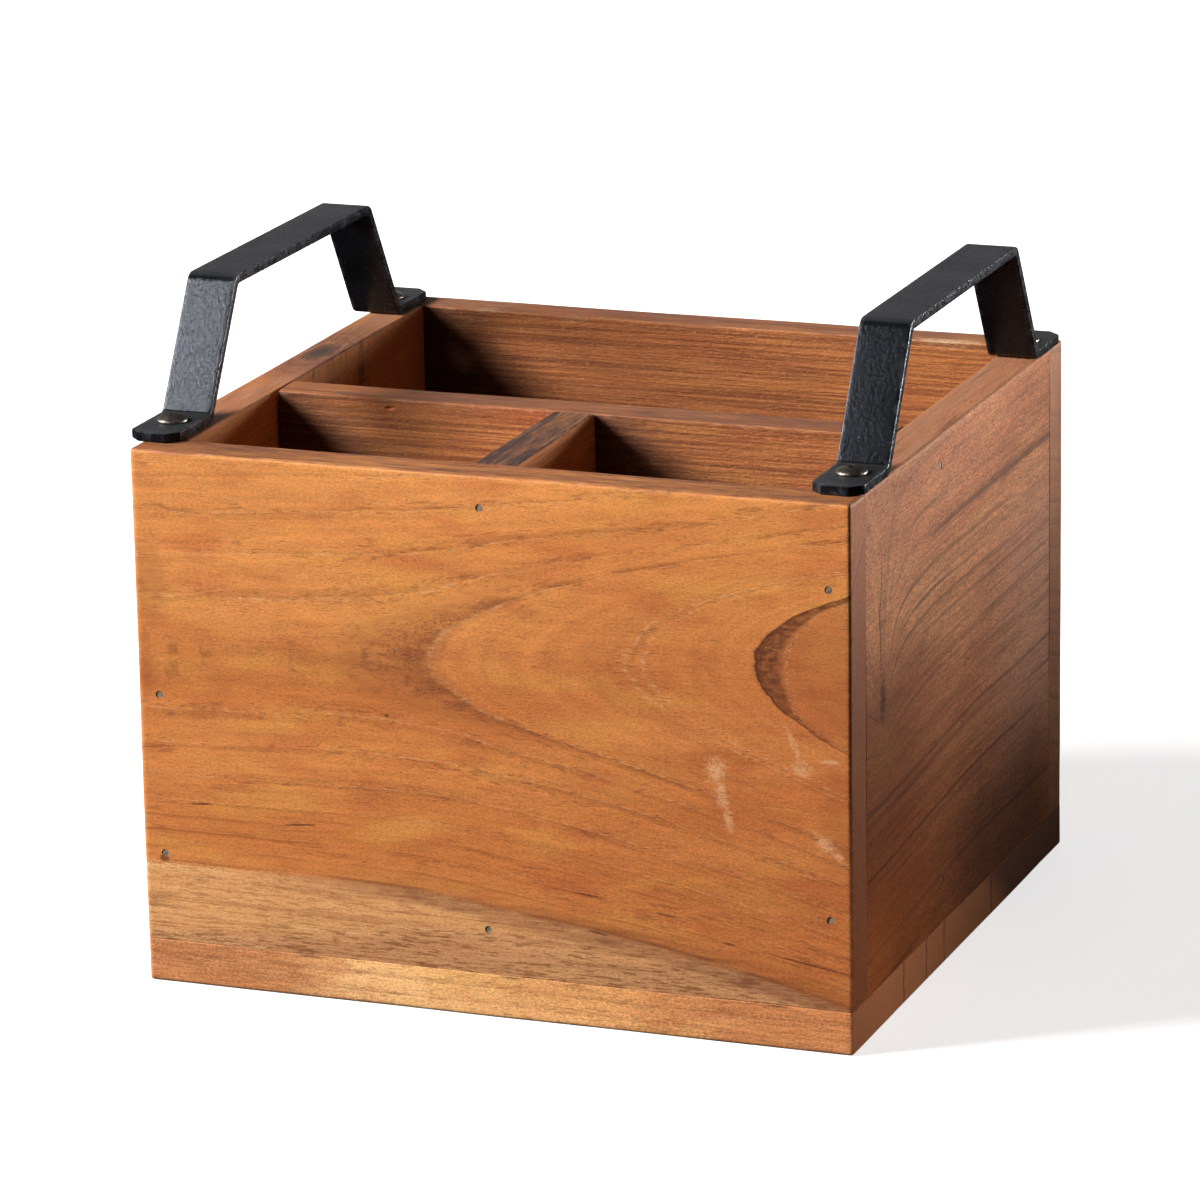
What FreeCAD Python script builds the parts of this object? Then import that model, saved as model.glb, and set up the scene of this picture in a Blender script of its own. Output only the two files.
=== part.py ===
import FreeCAD, Part
import math
import os

# Open-topped wooden cutlery holder: butt-jointed boards held by brads, three compartments,
# and a bent steel strap screwed along the top of each side board as a handle.
# Millimetres, +Z up, front towards -Y, origin in the middle of the underside.

Vector = FreeCAD.Vector

# Box, outside faces of the boards
box_width = 183.0
box_depth = 172.0
box_height = 135.5

# Board thicknesses
front_thickness = 11.0
back_thickness = 11.0
side_thickness = 11.0
bottom_thickness = 11.0
long_divider_thickness = 10.8
short_divider_thickness = 10.8

# Clear size of the left front compartment, which places both dividers
left_room_width = 74.1
front_room_depth = 53.0

# Rounding of the outer arrises
edge_ease = 0.8

# Handle straps, set from the box's front and back faces, and leftwards from each side board's middle
strap_width = 13.0
strap_thickness = 2.4
strap_bend_radius = 2.2
foot_front_margin = 6.4
foot_rear_margin = 1.6
foot_length = 20.8
foot_corner = 3.0
grip_length = 85.8
handle_rise = 33.3
left_handle_shift = 2.6
right_handle_shift = 0.5

# Handle screws, raised head with a cross recess
screw_inset = 12.5
screw_head_diameter = 7.6
screw_head_height = 2.0
screw_rim_height = 0.7
screw_shank_diameter = 3.5
screw_length = 16.0
screw_point_length = 4.0
recess_length = 4.4
recess_width = 1.0
recess_depth = 1.1
strap_hole_clearance = 0.3

# Brads, heads just under the surface
brad_length = 25.0
brad_head_diameter = 1.8
brad_head_height = 0.8
brad_shank_diameter = 1.3
brad_point_length = 1.6
brad_sink = 0.2

# Wood round a driven brad or screw, all round
fit_clearance = 0.05

# Brad rows
corner_brad_count = 3
corner_brad_low = 22.5
corner_brad_below_screw = 7.4
divider_brad_count = 2
divider_brad_low = 11.3
divider_brad_drop = 8.0
bottom_brad_count = 2
bottom_brad_inset = 46.0

# Planes that the pieces share
left_face = -box_width / 2
right_face = box_width / 2
front_face = -box_depth / 2
back_face = box_depth / 2
inner_left = left_face + side_thickness
inner_right = right_face - side_thickness
inner_front = front_face + front_thickness
inner_back = back_face - back_thickness
long_divider_front = inner_front + front_room_depth
long_divider_back = long_divider_front + long_divider_thickness
short_divider_left = inner_left + left_room_width
short_divider_right = short_divider_left + short_divider_thickness

# Middle lines of the boards, where the brads go in
left_middle = (left_face + inner_left) / 2
right_middle = (right_face + inner_right) / 2
front_middle = (front_face + inner_front) / 2
back_middle = (back_face + inner_back) / 2
long_divider_middle = (long_divider_front + long_divider_back) / 2
short_divider_middle = (short_divider_left + short_divider_right) / 2

# Ends of the straps and places of their screws
strap_front = front_face + foot_front_margin
strap_rear = back_face - foot_rear_margin
left_strap_middle = left_middle - left_handle_shift
right_strap_middle = right_middle - right_handle_shift
front_screw_line = strap_front + screw_inset
rear_screw_line = strap_rear - screw_inset
screw_seat = box_height + strap_thickness
screw_tip = screw_seat - screw_length

BACKWARD = Vector(0, 1, 0)
FORWARD = Vector(0, -1, 0)
RIGHTWARD = Vector(1, 0, 0)
LEFTWARD = Vector(-1, 0, 0)
UPWARD = Vector(0, 0, 1)


def between(low, high):
    """Block from its lowest to its highest corner."""
    size = high - low
    return Part.makeBox(size.x, size.y, size.z, low)


def spread(first, last, count):
    """Evenly spaced places from first to last."""
    step = (last - first) / (count - 1)
    return [first + step * index for index in range(count)]


def near(value, target):
    """Whether two lengths are the same place."""
    return abs(value - target) < 1e-6


def is_outer_arris(edge):
    """Whether an edge lies where two outside planes of the box meet."""
    middle = edge.CenterOfMass
    on_planes = [
        near(abs(middle.x), right_face),
        near(abs(middle.y), back_face),
        near(middle.z, box_height) or near(middle.z, 0),
    ]
    return sum(on_planes) == 2


def eased(board):
    """Board with its outer arrises rounded."""
    return board.makeFillet(edge_ease, [edge for edge in board.Edges if is_outer_arris(edge)])


def front_board():
    """Full-width wall that covers the front ends of the side boards."""
    low = Vector(left_face, front_face, bottom_thickness)
    return eased(between(low, Vector(right_face, inner_front, box_height)))


def back_board():
    """Full-width wall that covers the rear ends of the side boards."""
    low = Vector(left_face, inner_back, bottom_thickness)
    return eased(between(low, Vector(right_face, back_face, box_height)))


def left_board():
    """Left wall, between the front and back boards."""
    low = Vector(left_face, inner_front, bottom_thickness)
    return eased(between(low, Vector(inner_left, inner_back, box_height)))


def right_board():
    """Right wall, between the front and back boards."""
    low = Vector(inner_right, inner_front, bottom_thickness)
    return eased(between(low, Vector(right_face, inner_back, box_height)))


def bottom_board():
    """Floor board under all four walls."""
    low = Vector(left_face, front_face, 0)
    return eased(between(low, Vector(right_face, back_face, bottom_thickness)))


def long_divider():
    """Divider from the left wall to the right wall."""
    low = Vector(inner_left, long_divider_front, bottom_thickness)
    return between(low, Vector(inner_right, long_divider_back, box_height))


def short_divider():
    """Divider from the front wall to the long divider."""
    low = Vector(short_divider_left, inner_front, bottom_thickness)
    return between(low, Vector(short_divider_right, long_divider_front, box_height))


def bent_line(points, radii):
    """Edges of an open line through points, each inner corner an arc of its radius."""
    edges = []
    start = points[0]
    for before, corner, after, radius in zip(points, points[1:], points[2:], radii):
        back = (before - corner).normalize()
        ahead = (after - corner).normalize()
        half_angle = back.getAngle(ahead) / 2
        reach = radius / math.tan(half_angle)
        inward = (back + ahead).normalize()
        enter = corner + back * reach
        middle = corner + inward * (radius / math.sin(half_angle) - radius)
        leave = corner + ahead * reach
        edges.append(Part.makeLine(start, enter))
        edges.append(Part.Arc(enter, middle, leave).toShape())
        start = leave
    edges.append(Part.makeLine(start, points[-1]))
    return edges


def strap_side(left_edge):
    """Side view of the bent strap as a face, in the plane of its left edge."""
    low_top = box_height + strap_thickness
    high_top = box_height + handle_rise
    grip_middle = (strap_front + strap_rear) / 2
    front_fold = strap_front + foot_length
    rear_fold = strap_rear - foot_length
    front_bend = grip_middle - grip_length / 2
    rear_bend = grip_middle + grip_length / 2
    leg_angle = math.atan2(high_top - low_top, front_bend - front_fold)
    mitre = strap_thickness * math.tan(leg_angle / 2)

    def at(y, z):
        return Vector(left_edge, y, z)

    upper = [
        at(strap_front, low_top),
        at(front_fold, low_top),
        at(front_bend, high_top),
        at(rear_bend, high_top),
        at(rear_fold, low_top),
        at(strap_rear, low_top),
    ]
    lower = [
        at(strap_rear, low_top - strap_thickness),
        at(rear_fold - mitre, low_top - strap_thickness),
        at(rear_bend - mitre, high_top - strap_thickness),
        at(front_bend + mitre, high_top - strap_thickness),
        at(front_fold + mitre, low_top - strap_thickness),
        at(strap_front, low_top - strap_thickness),
    ]
    inside = strap_bend_radius
    outside = strap_bend_radius + strap_thickness
    edges = bent_line(upper, [inside, outside, outside, inside])
    edges.append(Part.makeLine(upper[-1], lower[0]))
    edges += bent_line(lower, [outside, inside, inside, outside])
    edges.append(Part.makeLine(lower[-1], upper[0]))
    return Part.Face(Part.Wire(edges))


def strap_plan(left_edge):
    """Block in the outline of the strap seen from above, corners cut off."""
    right_edge = left_edge + strap_width
    corners = [
        Vector(left_edge + foot_corner, strap_front, box_height),
        Vector(right_edge - foot_corner, strap_front, box_height),
        Vector(right_edge, strap_front + foot_corner, box_height),
        Vector(right_edge, strap_rear - foot_corner, box_height),
        Vector(right_edge - foot_corner, strap_rear, box_height),
        Vector(left_edge + foot_corner, strap_rear, box_height),
        Vector(left_edge, strap_rear - foot_corner, box_height),
        Vector(left_edge, strap_front + foot_corner, box_height),
    ]
    outline = Part.makePolygon(corners + corners[:1])
    return Part.Face(outline).extrude(UPWARD * handle_rise)


def handle(strap_middle):
    """Bent strap with a screw hole in each foot."""
    left_edge = strap_middle - strap_width / 2
    bar = strap_side(left_edge).extrude(RIGHTWARD * strap_width)
    bar = bar.common(strap_plan(left_edge))
    hole_radius = screw_shank_diameter / 2 + strap_hole_clearance
    holes = []
    for line in (front_screw_line, rear_screw_line):
        mouth = Vector(strap_middle, line, box_height)
        holes.append(Part.makeCylinder(hole_radius, strap_thickness, mouth, UPWARD))
    return bar.cut(holes)


def turned(points_and_arcs, place):
    """Solid turned about an upright axis through place, from a closed half outline."""
    half = Part.Face(Part.Wire(points_and_arcs))
    solid = half.revolve(Vector(0, 0, 0), UPWARD, 360)
    solid.translate(place)
    return solid


def screw(place):
    """Screw with a domed head, seated at place."""
    head_radius = screw_head_diameter / 2
    shank_radius = screw_shank_diameter / 2
    crown = screw_head_height - screw_rim_height
    ball = (head_radius ** 2 + crown ** 2) / (2 * crown)
    half_way = math.asin(head_radius / ball) / 2
    point = Vector(0, 0, -screw_length)
    shoulder = Vector(shank_radius, 0, screw_point_length - screw_length)
    neck = Vector(shank_radius, 0, 0)
    brim = Vector(head_radius, 0, 0)
    rim = Vector(head_radius, 0, screw_rim_height)
    dome = Vector(ball * math.sin(half_way), 0, screw_head_height - ball + ball * math.cos(half_way))
    top = Vector(0, 0, screw_head_height)
    solid = turned([
        Part.makeLine(point, shoulder),
        Part.makeLine(shoulder, neck),
        Part.makeLine(neck, brim),
        Part.makeLine(brim, rim),
        Part.Arc(rim, dome, top).toShape(),
        Part.makeLine(top, point),
    ], place)
    recess_floor = place + UPWARD * (screw_head_height - recess_depth)
    half_cross = Vector(recess_length / 2, recess_width / 2, 0)
    half_turned = Vector(recess_width / 2, recess_length / 2, 0)
    rise = UPWARD * (recess_depth + screw_rim_height)
    slots = [between(recess_floor - arm, recess_floor + arm + rise) for arm in (half_cross, half_turned)]
    return solid.cut(slots)


def screw_hole(place):
    """Hole that a screw seated at place leaves in the wood."""
    radius = screw_shank_diameter / 2 + fit_clearance
    shoulder = place + UPWARD * (screw_point_length - screw_length - fit_clearance)
    shank = Part.makeCylinder(radius, screw_seat - shoulder.z, shoulder, UPWARD)
    return shank.fuse(Part.makeCone(radius, 0, screw_point_length, shoulder, -UPWARD))


def pin(start, direction, head_height, growth):
    """Head, shank and point in line along direction, growth larger all round."""
    head_radius = brad_head_diameter / 2 + growth
    shank_radius = brad_shank_diameter / 2 + growth
    shank_length = brad_length - brad_head_height - brad_point_length
    neck = start + direction * (head_height + growth)
    shoulder = neck + direction * shank_length
    head = Part.makeCylinder(head_radius, head_height + growth, start, direction)
    shank = Part.makeCylinder(shank_radius, shank_length, neck, direction)
    point = Part.makeCone(shank_radius, 0, brad_point_length, shoulder, direction)
    return head.fuse([shank, point])


def brad(mouth, direction):
    """Brad driven in at mouth until its head is under the surface."""
    return pin(mouth + direction * brad_sink, direction, brad_head_height, 0)


def brad_hole(mouth, direction):
    """Hole that a brad driven in at mouth leaves in the wood."""
    return pin(mouth, direction, brad_sink + brad_head_height, fit_clearance)


def brad_rows():
    """Mouth and direction of every brad, under its node's name."""
    corner_heights = spread(
        bottom_thickness + corner_brad_low, screw_tip - corner_brad_below_screw, corner_brad_count
    )
    divider_heights = spread(
        bottom_thickness + divider_brad_low, box_height - divider_brad_drop, divider_brad_count
    )
    across = spread(left_face + bottom_brad_inset, right_face - bottom_brad_inset, bottom_brad_count)
    along = spread(front_face + bottom_brad_inset, back_face - bottom_brad_inset, bottom_brad_count)
    short_divider_centre = (inner_front + long_divider_front) / 2
    under_dividers = [(Vector(x, long_divider_middle, 0), UPWARD) for x in across]
    under_dividers.append((Vector(short_divider_middle, short_divider_centre, 0), UPWARD))
    return {
        "front_left_brads": [(Vector(left_middle, front_face, z), BACKWARD) for z in corner_heights],
        "front_right_brads": [(Vector(right_middle, front_face, z), BACKWARD) for z in corner_heights],
        "back_left_brads": [(Vector(left_middle, back_face, z), FORWARD) for z in corner_heights],
        "back_right_brads": [(Vector(right_middle, back_face, z), FORWARD) for z in corner_heights],
        "front_divider_brads": [
            (Vector(short_divider_middle, front_face, z), BACKWARD) for z in divider_heights
        ],
        "cross_divider_brads": [
            (Vector(short_divider_middle, long_divider_back, z), FORWARD) for z in divider_heights
        ],
        "left_divider_brads": [
            (Vector(left_face, long_divider_middle, z), RIGHTWARD) for z in divider_heights
        ],
        "right_divider_brads": [
            (Vector(right_face, long_divider_middle, z), LEFTWARD) for z in divider_heights
        ],
        "bottom_front_brads": [(Vector(x, front_middle, 0), UPWARD) for x in across],
        "bottom_back_brads": [(Vector(x, back_middle, 0), UPWARD) for x in across],
        "bottom_left_brads": [(Vector(left_middle, y, 0), UPWARD) for y in along],
        "bottom_right_brads": [(Vector(right_middle, y, 0), UPWARD) for y in along],
        "bottom_divider_brads": under_dividers,
    }


def screw_places():
    """Seat of each handle screw, under its node's name."""
    return {
        "left_front_screw": Vector(left_strap_middle, front_screw_line, screw_seat),
        "left_rear_screw": Vector(left_strap_middle, rear_screw_line, screw_seat),
        "right_front_screw": Vector(right_strap_middle, front_screw_line, screw_seat),
        "right_rear_screw": Vector(right_strap_middle, rear_screw_line, screw_seat),
    }


def assembly():
    """Every piece of the holder, under its node's name."""
    rows = brad_rows()
    seats = screw_places()
    boards = {
        "front_board": front_board(),
        "back_board": back_board(),
        "left_board": left_board(),
        "right_board": right_board(),
        "bottom_board": bottom_board(),
        "long_divider": long_divider(),
        "short_divider": short_divider(),
    }
    holes = [brad_hole(*place) for row in rows.values() for place in row]
    holes += [screw_hole(seat) for seat in seats.values()]
    pieces = {name: board.cut(holes) for name, board in boards.items()}
    pieces["left_handle"] = handle(left_strap_middle)
    pieces["right_handle"] = handle(right_strap_middle)
    for name, seat in seats.items():
        pieces[name] = screw(seat)
    for name, row in rows.items():
        pieces[name] = Part.makeCompound([brad(*place) for place in row])
    return pieces


os.makedirs("parts", exist_ok=True)
for node, piece in assembly().items():
    piece.exportStep("parts/" + node + ".step")
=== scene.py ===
"""Looks of a wooden cutlery holder with bent strap handles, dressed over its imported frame."""

import logging
import math
from collections.abc import Sequence
from dataclasses import dataclass
from enum import Enum

import bmesh
import bpy
from mathutils import Matrix, Vector, noise


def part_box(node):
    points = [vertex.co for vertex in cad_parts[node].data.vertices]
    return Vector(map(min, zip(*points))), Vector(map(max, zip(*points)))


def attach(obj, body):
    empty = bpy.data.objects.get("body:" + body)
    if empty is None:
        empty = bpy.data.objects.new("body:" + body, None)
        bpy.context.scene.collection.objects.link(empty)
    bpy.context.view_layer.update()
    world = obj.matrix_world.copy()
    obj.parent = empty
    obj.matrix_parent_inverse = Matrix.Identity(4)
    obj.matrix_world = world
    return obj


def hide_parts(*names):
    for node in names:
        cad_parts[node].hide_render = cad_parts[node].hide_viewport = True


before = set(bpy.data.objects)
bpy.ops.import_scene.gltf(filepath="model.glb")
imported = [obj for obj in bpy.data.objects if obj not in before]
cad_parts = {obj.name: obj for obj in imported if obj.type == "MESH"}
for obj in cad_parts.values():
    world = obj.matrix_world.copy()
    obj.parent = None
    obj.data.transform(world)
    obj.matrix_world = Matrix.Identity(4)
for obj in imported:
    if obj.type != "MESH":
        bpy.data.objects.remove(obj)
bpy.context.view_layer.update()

log = logging.getLogger("cutlery_holder")

MM = 0.001
BODY = "root"

# Planes of the box and tolerances in millimetres, creases in degrees
BOX_TOP = 135.5
INNER_X = 80.5
INNER_Y = 75.0
FLOOR_TOP = 11.0
RIM_DEPTH = 1.1
HAIR = 0.3
TOUCH = 0.01
CREASE = 40.0
SCREW_CREASE = 35.0

# Start of the noise that moves the boards' surfaces, so that every run gives the same boards
WANDER_SEED = 7

Colour = tuple[float, float, float, float]
Pair = tuple[float, float]
Triple = tuple[float, float, float]


def srgb(red: int, green: int, blue: int) -> Colour:
    """Linear colour of three display values from 0 to 255."""
    steps = (value / 255 for value in (red, green, blue))
    linear = [s / 12.92 if s <= 0.04045 else ((s + 0.055) / 1.055) ** 2.4 for s in steps]
    return linear[0], linear[1], linear[2], 1.0


class Slot(Enum):
    """Material slots of the record."""

    WOOD = "oiled_wood"
    COAT = "black_coat"
    SCREW = "screw_metal"
    BRAD = "brad_metal"


class Axis(Enum):
    """Directions of the shared frame."""

    X = 0
    Y = 1
    Z = 2


class Wire:
    """One output of a shader node, open to plain arithmetic."""

    def __init__(self, bench: "Bench", socket: bpy.types.NodeSocket) -> None:
        """Keeps the socket and the bench that it is on."""
        self.bench = bench
        self.socket = socket

    def __add__(self, other: "Value") -> "Wire":
        """Sum."""
        return self.bench.maths("ADD", self, other)

    def __radd__(self, other: "Value") -> "Wire":
        """Sum, with the number first."""
        return self.bench.maths("ADD", other, self)

    def __sub__(self, other: "Value") -> "Wire":
        """Difference."""
        return self.bench.maths("SUBTRACT", self, other)

    def __rsub__(self, other: "Value") -> "Wire":
        """Difference, with the number first."""
        return self.bench.maths("SUBTRACT", other, self)

    def __mul__(self, other: "Value") -> "Wire":
        """Product."""
        return self.bench.maths("MULTIPLY", self, other)

    def __rmul__(self, other: "Value") -> "Wire":
        """Product, with the number first."""
        return self.bench.maths("MULTIPLY", other, self)

    def __truediv__(self, other: "Value") -> "Wire":
        """Quotient."""
        return self.bench.maths("DIVIDE", self, other)

    def __abs__(self) -> "Wire":
        """Size without its sign."""
        return self.bench.maths("ABSOLUTE", self)

    def __gt__(self, other: "Value") -> "Wire":
        """1 where larger, else 0."""
        return self.bench.maths("GREATER_THAN", self, other)

    def __lt__(self, other: "Value") -> "Wire":
        """1 where smaller, else 0."""
        return self.bench.maths("LESS_THAN", self, other)

    def ease(self, start: "Value", end: "Value") -> "Wire":
        """Smooth step from 0 at start to 1 at end."""
        settings = {"interpolation_type": "SMOOTHSTEP"}
        return self.bench.node("MapRange", settings, {"Value": self, "From Min": start, "From Max": end})


Value = Wire | float | Colour


class Bench:
    """Shader tree of one material or world, with short ways to add nodes."""

    def __init__(self, owner: bpy.types.Material | bpy.types.World) -> None:
        """Starts an empty tree.

        Args:
            owner: The new material or world that the tree is for.
        """
        self.owner = owner
        self.owner.use_nodes = True
        self.tree = self.owner.node_tree
        self.tree.nodes.clear()

    def node(self, kind: str, settings: dict, inputs: dict, output: int | str = 0) -> Wire:
        """Adds one node.

        Args:
            kind: Node type without its ShaderNode prefix.
            settings: Properties, set before the sockets.
            inputs: Socket names or numbers, each with a value or a wire.
            output: Socket that the result comes from.

        Returns:
            The wire of that output.
        """
        made = self.tree.nodes.new("ShaderNode" + kind)
        for key, value in settings.items():
            setattr(made, key, value)
        for key, value in inputs.items():
            if isinstance(value, Wire):
                self.tree.links.new(value.socket, made.inputs[key])
            else:
                made.inputs[key].default_value = value
        return Wire(self, made.outputs[output])

    def maths(self, operation: str, *values: Value) -> Wire:
        """Adds a Math node on the given values."""
        return self.node("Math", {"operation": operation}, dict(enumerate(values)))

    def root(self, value: Wire) -> Wire:
        """Square root."""
        return self.maths("SQRT", value)

    def vector(self, x: Value, y: Value, z: Value) -> Wire:
        """Three values as one vector."""
        return self.node("CombineXYZ", {}, {"X": x, "Y": y, "Z": z})

    def parts(self, vector: Wire) -> tuple[Wire, Wire, Wire]:
        """The three values of a vector."""
        made = self.node("SeparateXYZ", {}, {"Vector": vector})
        outputs = made.socket.node.outputs
        return made, Wire(self, outputs["Y"]), Wire(self, outputs["Z"])

    def cloud(self, place: Wire, detail: float = 2.0, rough: float = 0.5) -> Wire:
        """Noise of unit size at a place.

        Args:
            place: Where it is read, in units of the noise.
            detail: Number of finer layers.
            rough: Weight of the finer layers.

        Returns:
            A value about 0.5.
        """
        inputs = {"Vector": place, "Scale": 1.0, "Detail": detail, "Roughness": rough}
        return self.node("TexNoise", {}, inputs)

    def mix(self, share: Value, under: Value, over: Value, blend: str = "MIX") -> Wire:
        """Two colours, with share of the second one over the first."""
        settings = {"data_type": "RGBA", "blend_type": blend}
        return self.node("Mix", settings, {0: share, 6: under, 7: over}, 2)

    def shaded(self, colour: Wire, shade: Wire) -> Wire:
        """A colour made darker or lighter by a factor."""
        return self.mix(1.0, colour, self.vector(shade, shade, shade), "MULTIPLY")

    def place(self) -> tuple[Wire, Wire, Wire]:
        """Place on the piece, in millimetres."""
        where = self.node("TexCoord", {}, {}, "Object")
        scaled = self.node("VectorMath", {"operation": "SCALE"}, {0: where, "Scale": 1 / MM})
        return self.parts(scaled)

    def facing(self) -> tuple[Wire, Wire, Wire]:
        """Direction that the surface faces."""
        return self.parts(self.node("TexCoord", {}, {}, "Normal"))

    def mark(self, name: str) -> Wire:
        """A named value kept on the mesh."""
        return self.node("Attribute", {"attribute_name": name}, {}, "Fac")

    def bump(self, height: Wire, strength: float) -> Wire:
        """Normal of a surface raised by a height in millimetres."""
        return self.node("Bump", {}, {"Height": height, "Strength": strength, "Distance": MM}, "Normal")

    def surface(self, **inputs: Value) -> bpy.types.Material:
        """Ends the tree with one surface shader.

        Args:
            inputs: Sockets of the shader, with _ for a space in their names.

        Returns:
            The finished material.
        """
        sockets = {name.replace("_", " "): value for name, value in inputs.items()}
        self.close("OutputMaterial", self.node("BsdfPrincipled", {}, sockets))
        return self.owner

    def close(self, kind: str, shader: Wire) -> None:
        """Links a shader to a new output node."""
        end = self.tree.nodes.new("ShaderNode" + kind)
        self.tree.links.new(shader.socket, end.inputs["Surface"])


@dataclass(frozen=True)
class Figure:
    """How the growth rings lie in one board, in millimetres."""

    along: Axis
    across: Axis
    depth: Axis
    pith_across: float
    pith_depth: float
    ring: float
    taper: float = 0.0
    swell: float = 0.0
    wander: float = 2.0
    seed: float = 0.0
    band: float = 1.0


@dataclass(frozen=True)
class Tone:
    """Colours of one board."""

    light: Colour = srgb(222, 142, 74)
    warm: Colour = srgb(200, 116, 58)
    red: Colour = srgb(186, 98, 54)
    gold: Colour = srgb(222, 150, 74)
    deep: Colour = srgb(134, 68, 32)
    pore: Colour = srgb(84, 42, 22)
    fleck: Colour = srgb(236, 184, 132)
    inner: Colour = srgb(118, 58, 24)
    worn: Colour = srgb(132, 88, 70)
    end: Colour = srgb(124, 70, 42)
    end_share: float = 0.45
    wear_share: float = 0.62
    shine: float = 0.4


class Wood:
    """Oiled wood with its rings, pores and fibres running through the whole board."""

    # Inner corners from which a painted shadow spreads over the walls that face the front, and how dark it
    # is
    corners: tuple[float, ...] = ()
    painted_shadow_share: float = 0.8

    def __init__(self, name: str, figure: Figure, tone: Tone = Tone()) -> None:
        """Keeps what the board is cut from.

        Args:
            name: Name of the material.
            figure: How the rings lie.
            tone: Colours.
        """
        self.name = name
        self.figure = figure
        self.tone = tone

    def begin(self) -> None:
        """Opens the tree and reads place, facing and grain directions."""
        self.bench = Bench(bpy.data.materials.new(self.name))
        self.x, self.y, self.z = self.bench.place()
        self.facing_x, self.facing_y, self.facing_z = self.bench.facing()
        places = (self.x, self.y, self.z)
        faces = (self.facing_x, self.facing_y, self.facing_z)
        self.along = places[self.figure.along.value]
        self.across = places[self.figure.across.value]
        self.depth = places[self.figure.depth.value]
        self.facing_along = faces[self.figure.along.value]

    def texture(self) -> None:
        """Reads the noise layers that all boards share."""
        self.veil = self.streaks(60, 5, 11.9)
        self.blotch = self.streaks(7, 3, 71.3, 3.0, 0.6)
        self.fibre = self.streaks(10, 0.7, 13.7, 3.0, 0.6)
        self.speck = self.streaks(0.8, 0.45, 17.9, 2.0, 0.7)
        self.dots = self.streaks(2.2, 0.6, 43.3).ease(-0.02, 0.12)

    def streaks(
        self, run: float, width: float, shift: float, detail: float = 2.0, rough: float = 0.5
    ) -> Wire:
        """Noise drawn out along the grain.

        Args:
            run: Length of a streak in millimetres.
            width: Width of a streak in millimetres.
            shift: Where in the noise it is read, so that layers differ.
            detail: Number of finer layers.
            rough: Weight of the finer layers.

        Returns:
            A value about 0.
        """
        start = self.figure.seed + shift
        place = self.bench.vector(
            self.along / run + start, self.across / width + start * 0.7, self.depth / width - start
        )
        return self.bench.cloud(place, detail, rough) - 0.5

    def radius(self) -> Wire:
        """Distance from the pith, less the stem's taper, in millimetres."""
        figure = self.figure
        up = self.across - figure.pith_across
        back = self.depth - figure.pith_depth
        plain = self.bench.root(up * up + back * back)
        drawn_in = self.along * figure.taper + self.along * self.along * figure.swell
        drift = self.streaks(80, 26, 3.1) * figure.wander
        ripple = self.streaks(16, 7, 5.7) * (figure.wander * 0.2)
        return plain - drawn_in + drift + ripple

    def growth(self, width: float, shift: float) -> Wire:
        """Noise that follows the rings.

        Args:
            width: Width of a streak in millimetres of radius.
            shift: Where in the noise it is read.

        Returns:
            A value about 0.
        """
        start = self.figure.seed + shift
        place = self.bench.vector(self.ring_place / width + start, self.along / 90.0 + start, start)
        return self.bench.cloud(place, 3.0, 0.6) - 0.5

    def tint(self) -> Wire:
        """Share of the light tone over the warm one."""
        return self.streaks(130, 24, 9.3, 1.0).ease(-0.22, 0.22)

    def painted_light_lift(self) -> Wire | float:
        """How much painted light or shade makes a part of the board lighter or darker than its tone; plain
        boards have none.
        """
        return 0.0

    def redness(self) -> Wire:
        """Share of the red tone, in drawn-out patches."""
        return self.streaks(22, 7, 19.7, 3.0).ease(-0.04, 0.24) * 0.5

    def inside(self) -> Wire:
        """1 on the rough inner walls, else 0."""
        within = (abs(self.x) < INNER_X + HAIR) * (abs(self.y) < INNER_Y + HAIR)
        return within * (self.z > FLOOR_TOP + HAIR) * (abs(self.facing_z) < 0.5)

    def oval(self, spot: Pair, size: Pair, turn: float, ragged: float, soft: float = 0.2) -> Wire:
        """Mask of a ragged oval on a board's broad face.

        Args:
            spot: Middle, along and across the grain.
            size: Half length and half width.
            turn: Turn in degrees.
            ragged: How far the rim wanders, as a share of the size.
            soft: How far the rim fades, as a share of the size.

        Returns:
            1 inside the oval, else 0.
        """
        run = self.along - spot[0]
        rise = self.across - spot[1]
        cosine, sine = math.cos(math.radians(turn)), math.sin(math.radians(turn))
        long_way = (run * cosine + rise * sine) / size[0]
        short_way = (rise * cosine - run * sine) / size[1]
        reach = self.bench.root(long_way * long_way + short_way * short_way)
        return (reach + self.streaks(1.8, 1.0, spot[0], 3.0) * ragged).ease(1.0 + soft * 0.3, 1.0 - soft)

    def ground(self) -> Wire:
        """Colour of the plain wood between its rings."""
        bench, tone = self.bench, self.tone
        colour = bench.mix(self.tint(), tone.warm, tone.light)
        colour = bench.mix(self.streaks(30, 9, 29.3).ease(0.0, 0.2) * 0.5, colour, tone.gold)
        colour = bench.mix(self.redness(), colour, tone.red)
        shade = 1.0 + self.veil * 0.24 + self.blotch * 0.3 + self.fibre * 0.3 + self.speck * 1.1
        shade = shade + self.growth(0.8, 15.1) * 0.5 + self.painted_light_lift()
        return bench.shaded(colour, shade)

    def rings(self, colour: Wire) -> Wire:
        """Colour with a dark band and a pale dotted line at each growth ring."""
        bench, figure = self.bench, self.figure
        ring = self.ring_place / figure.ring + 100.0
        count = bench.maths("FLOOR", ring)
        chance = bench.node("TexWhiteNoise", {"noise_dimensions": "1D"}, {"W": count + figure.seed})
        phase = ring - count
        band = phase.ease(0.42, 0.0) * phase.ease(0.0, 0.03) * (0.15 + chance * 0.5) * figure.band
        colour = bench.mix(band, colour, self.tone.deep)
        seam = abs(phase - 0.5).ease(0.44, 0.49) * self.dots
        self.early = phase.ease(0.3, 0.0)
        return bench.mix(seam * 0.22, colour, self.tone.fleck)

    def marks(self, colour: Wire) -> Wire:
        """Colour with the marks of this one board; plain boards have none."""
        return colour

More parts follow.
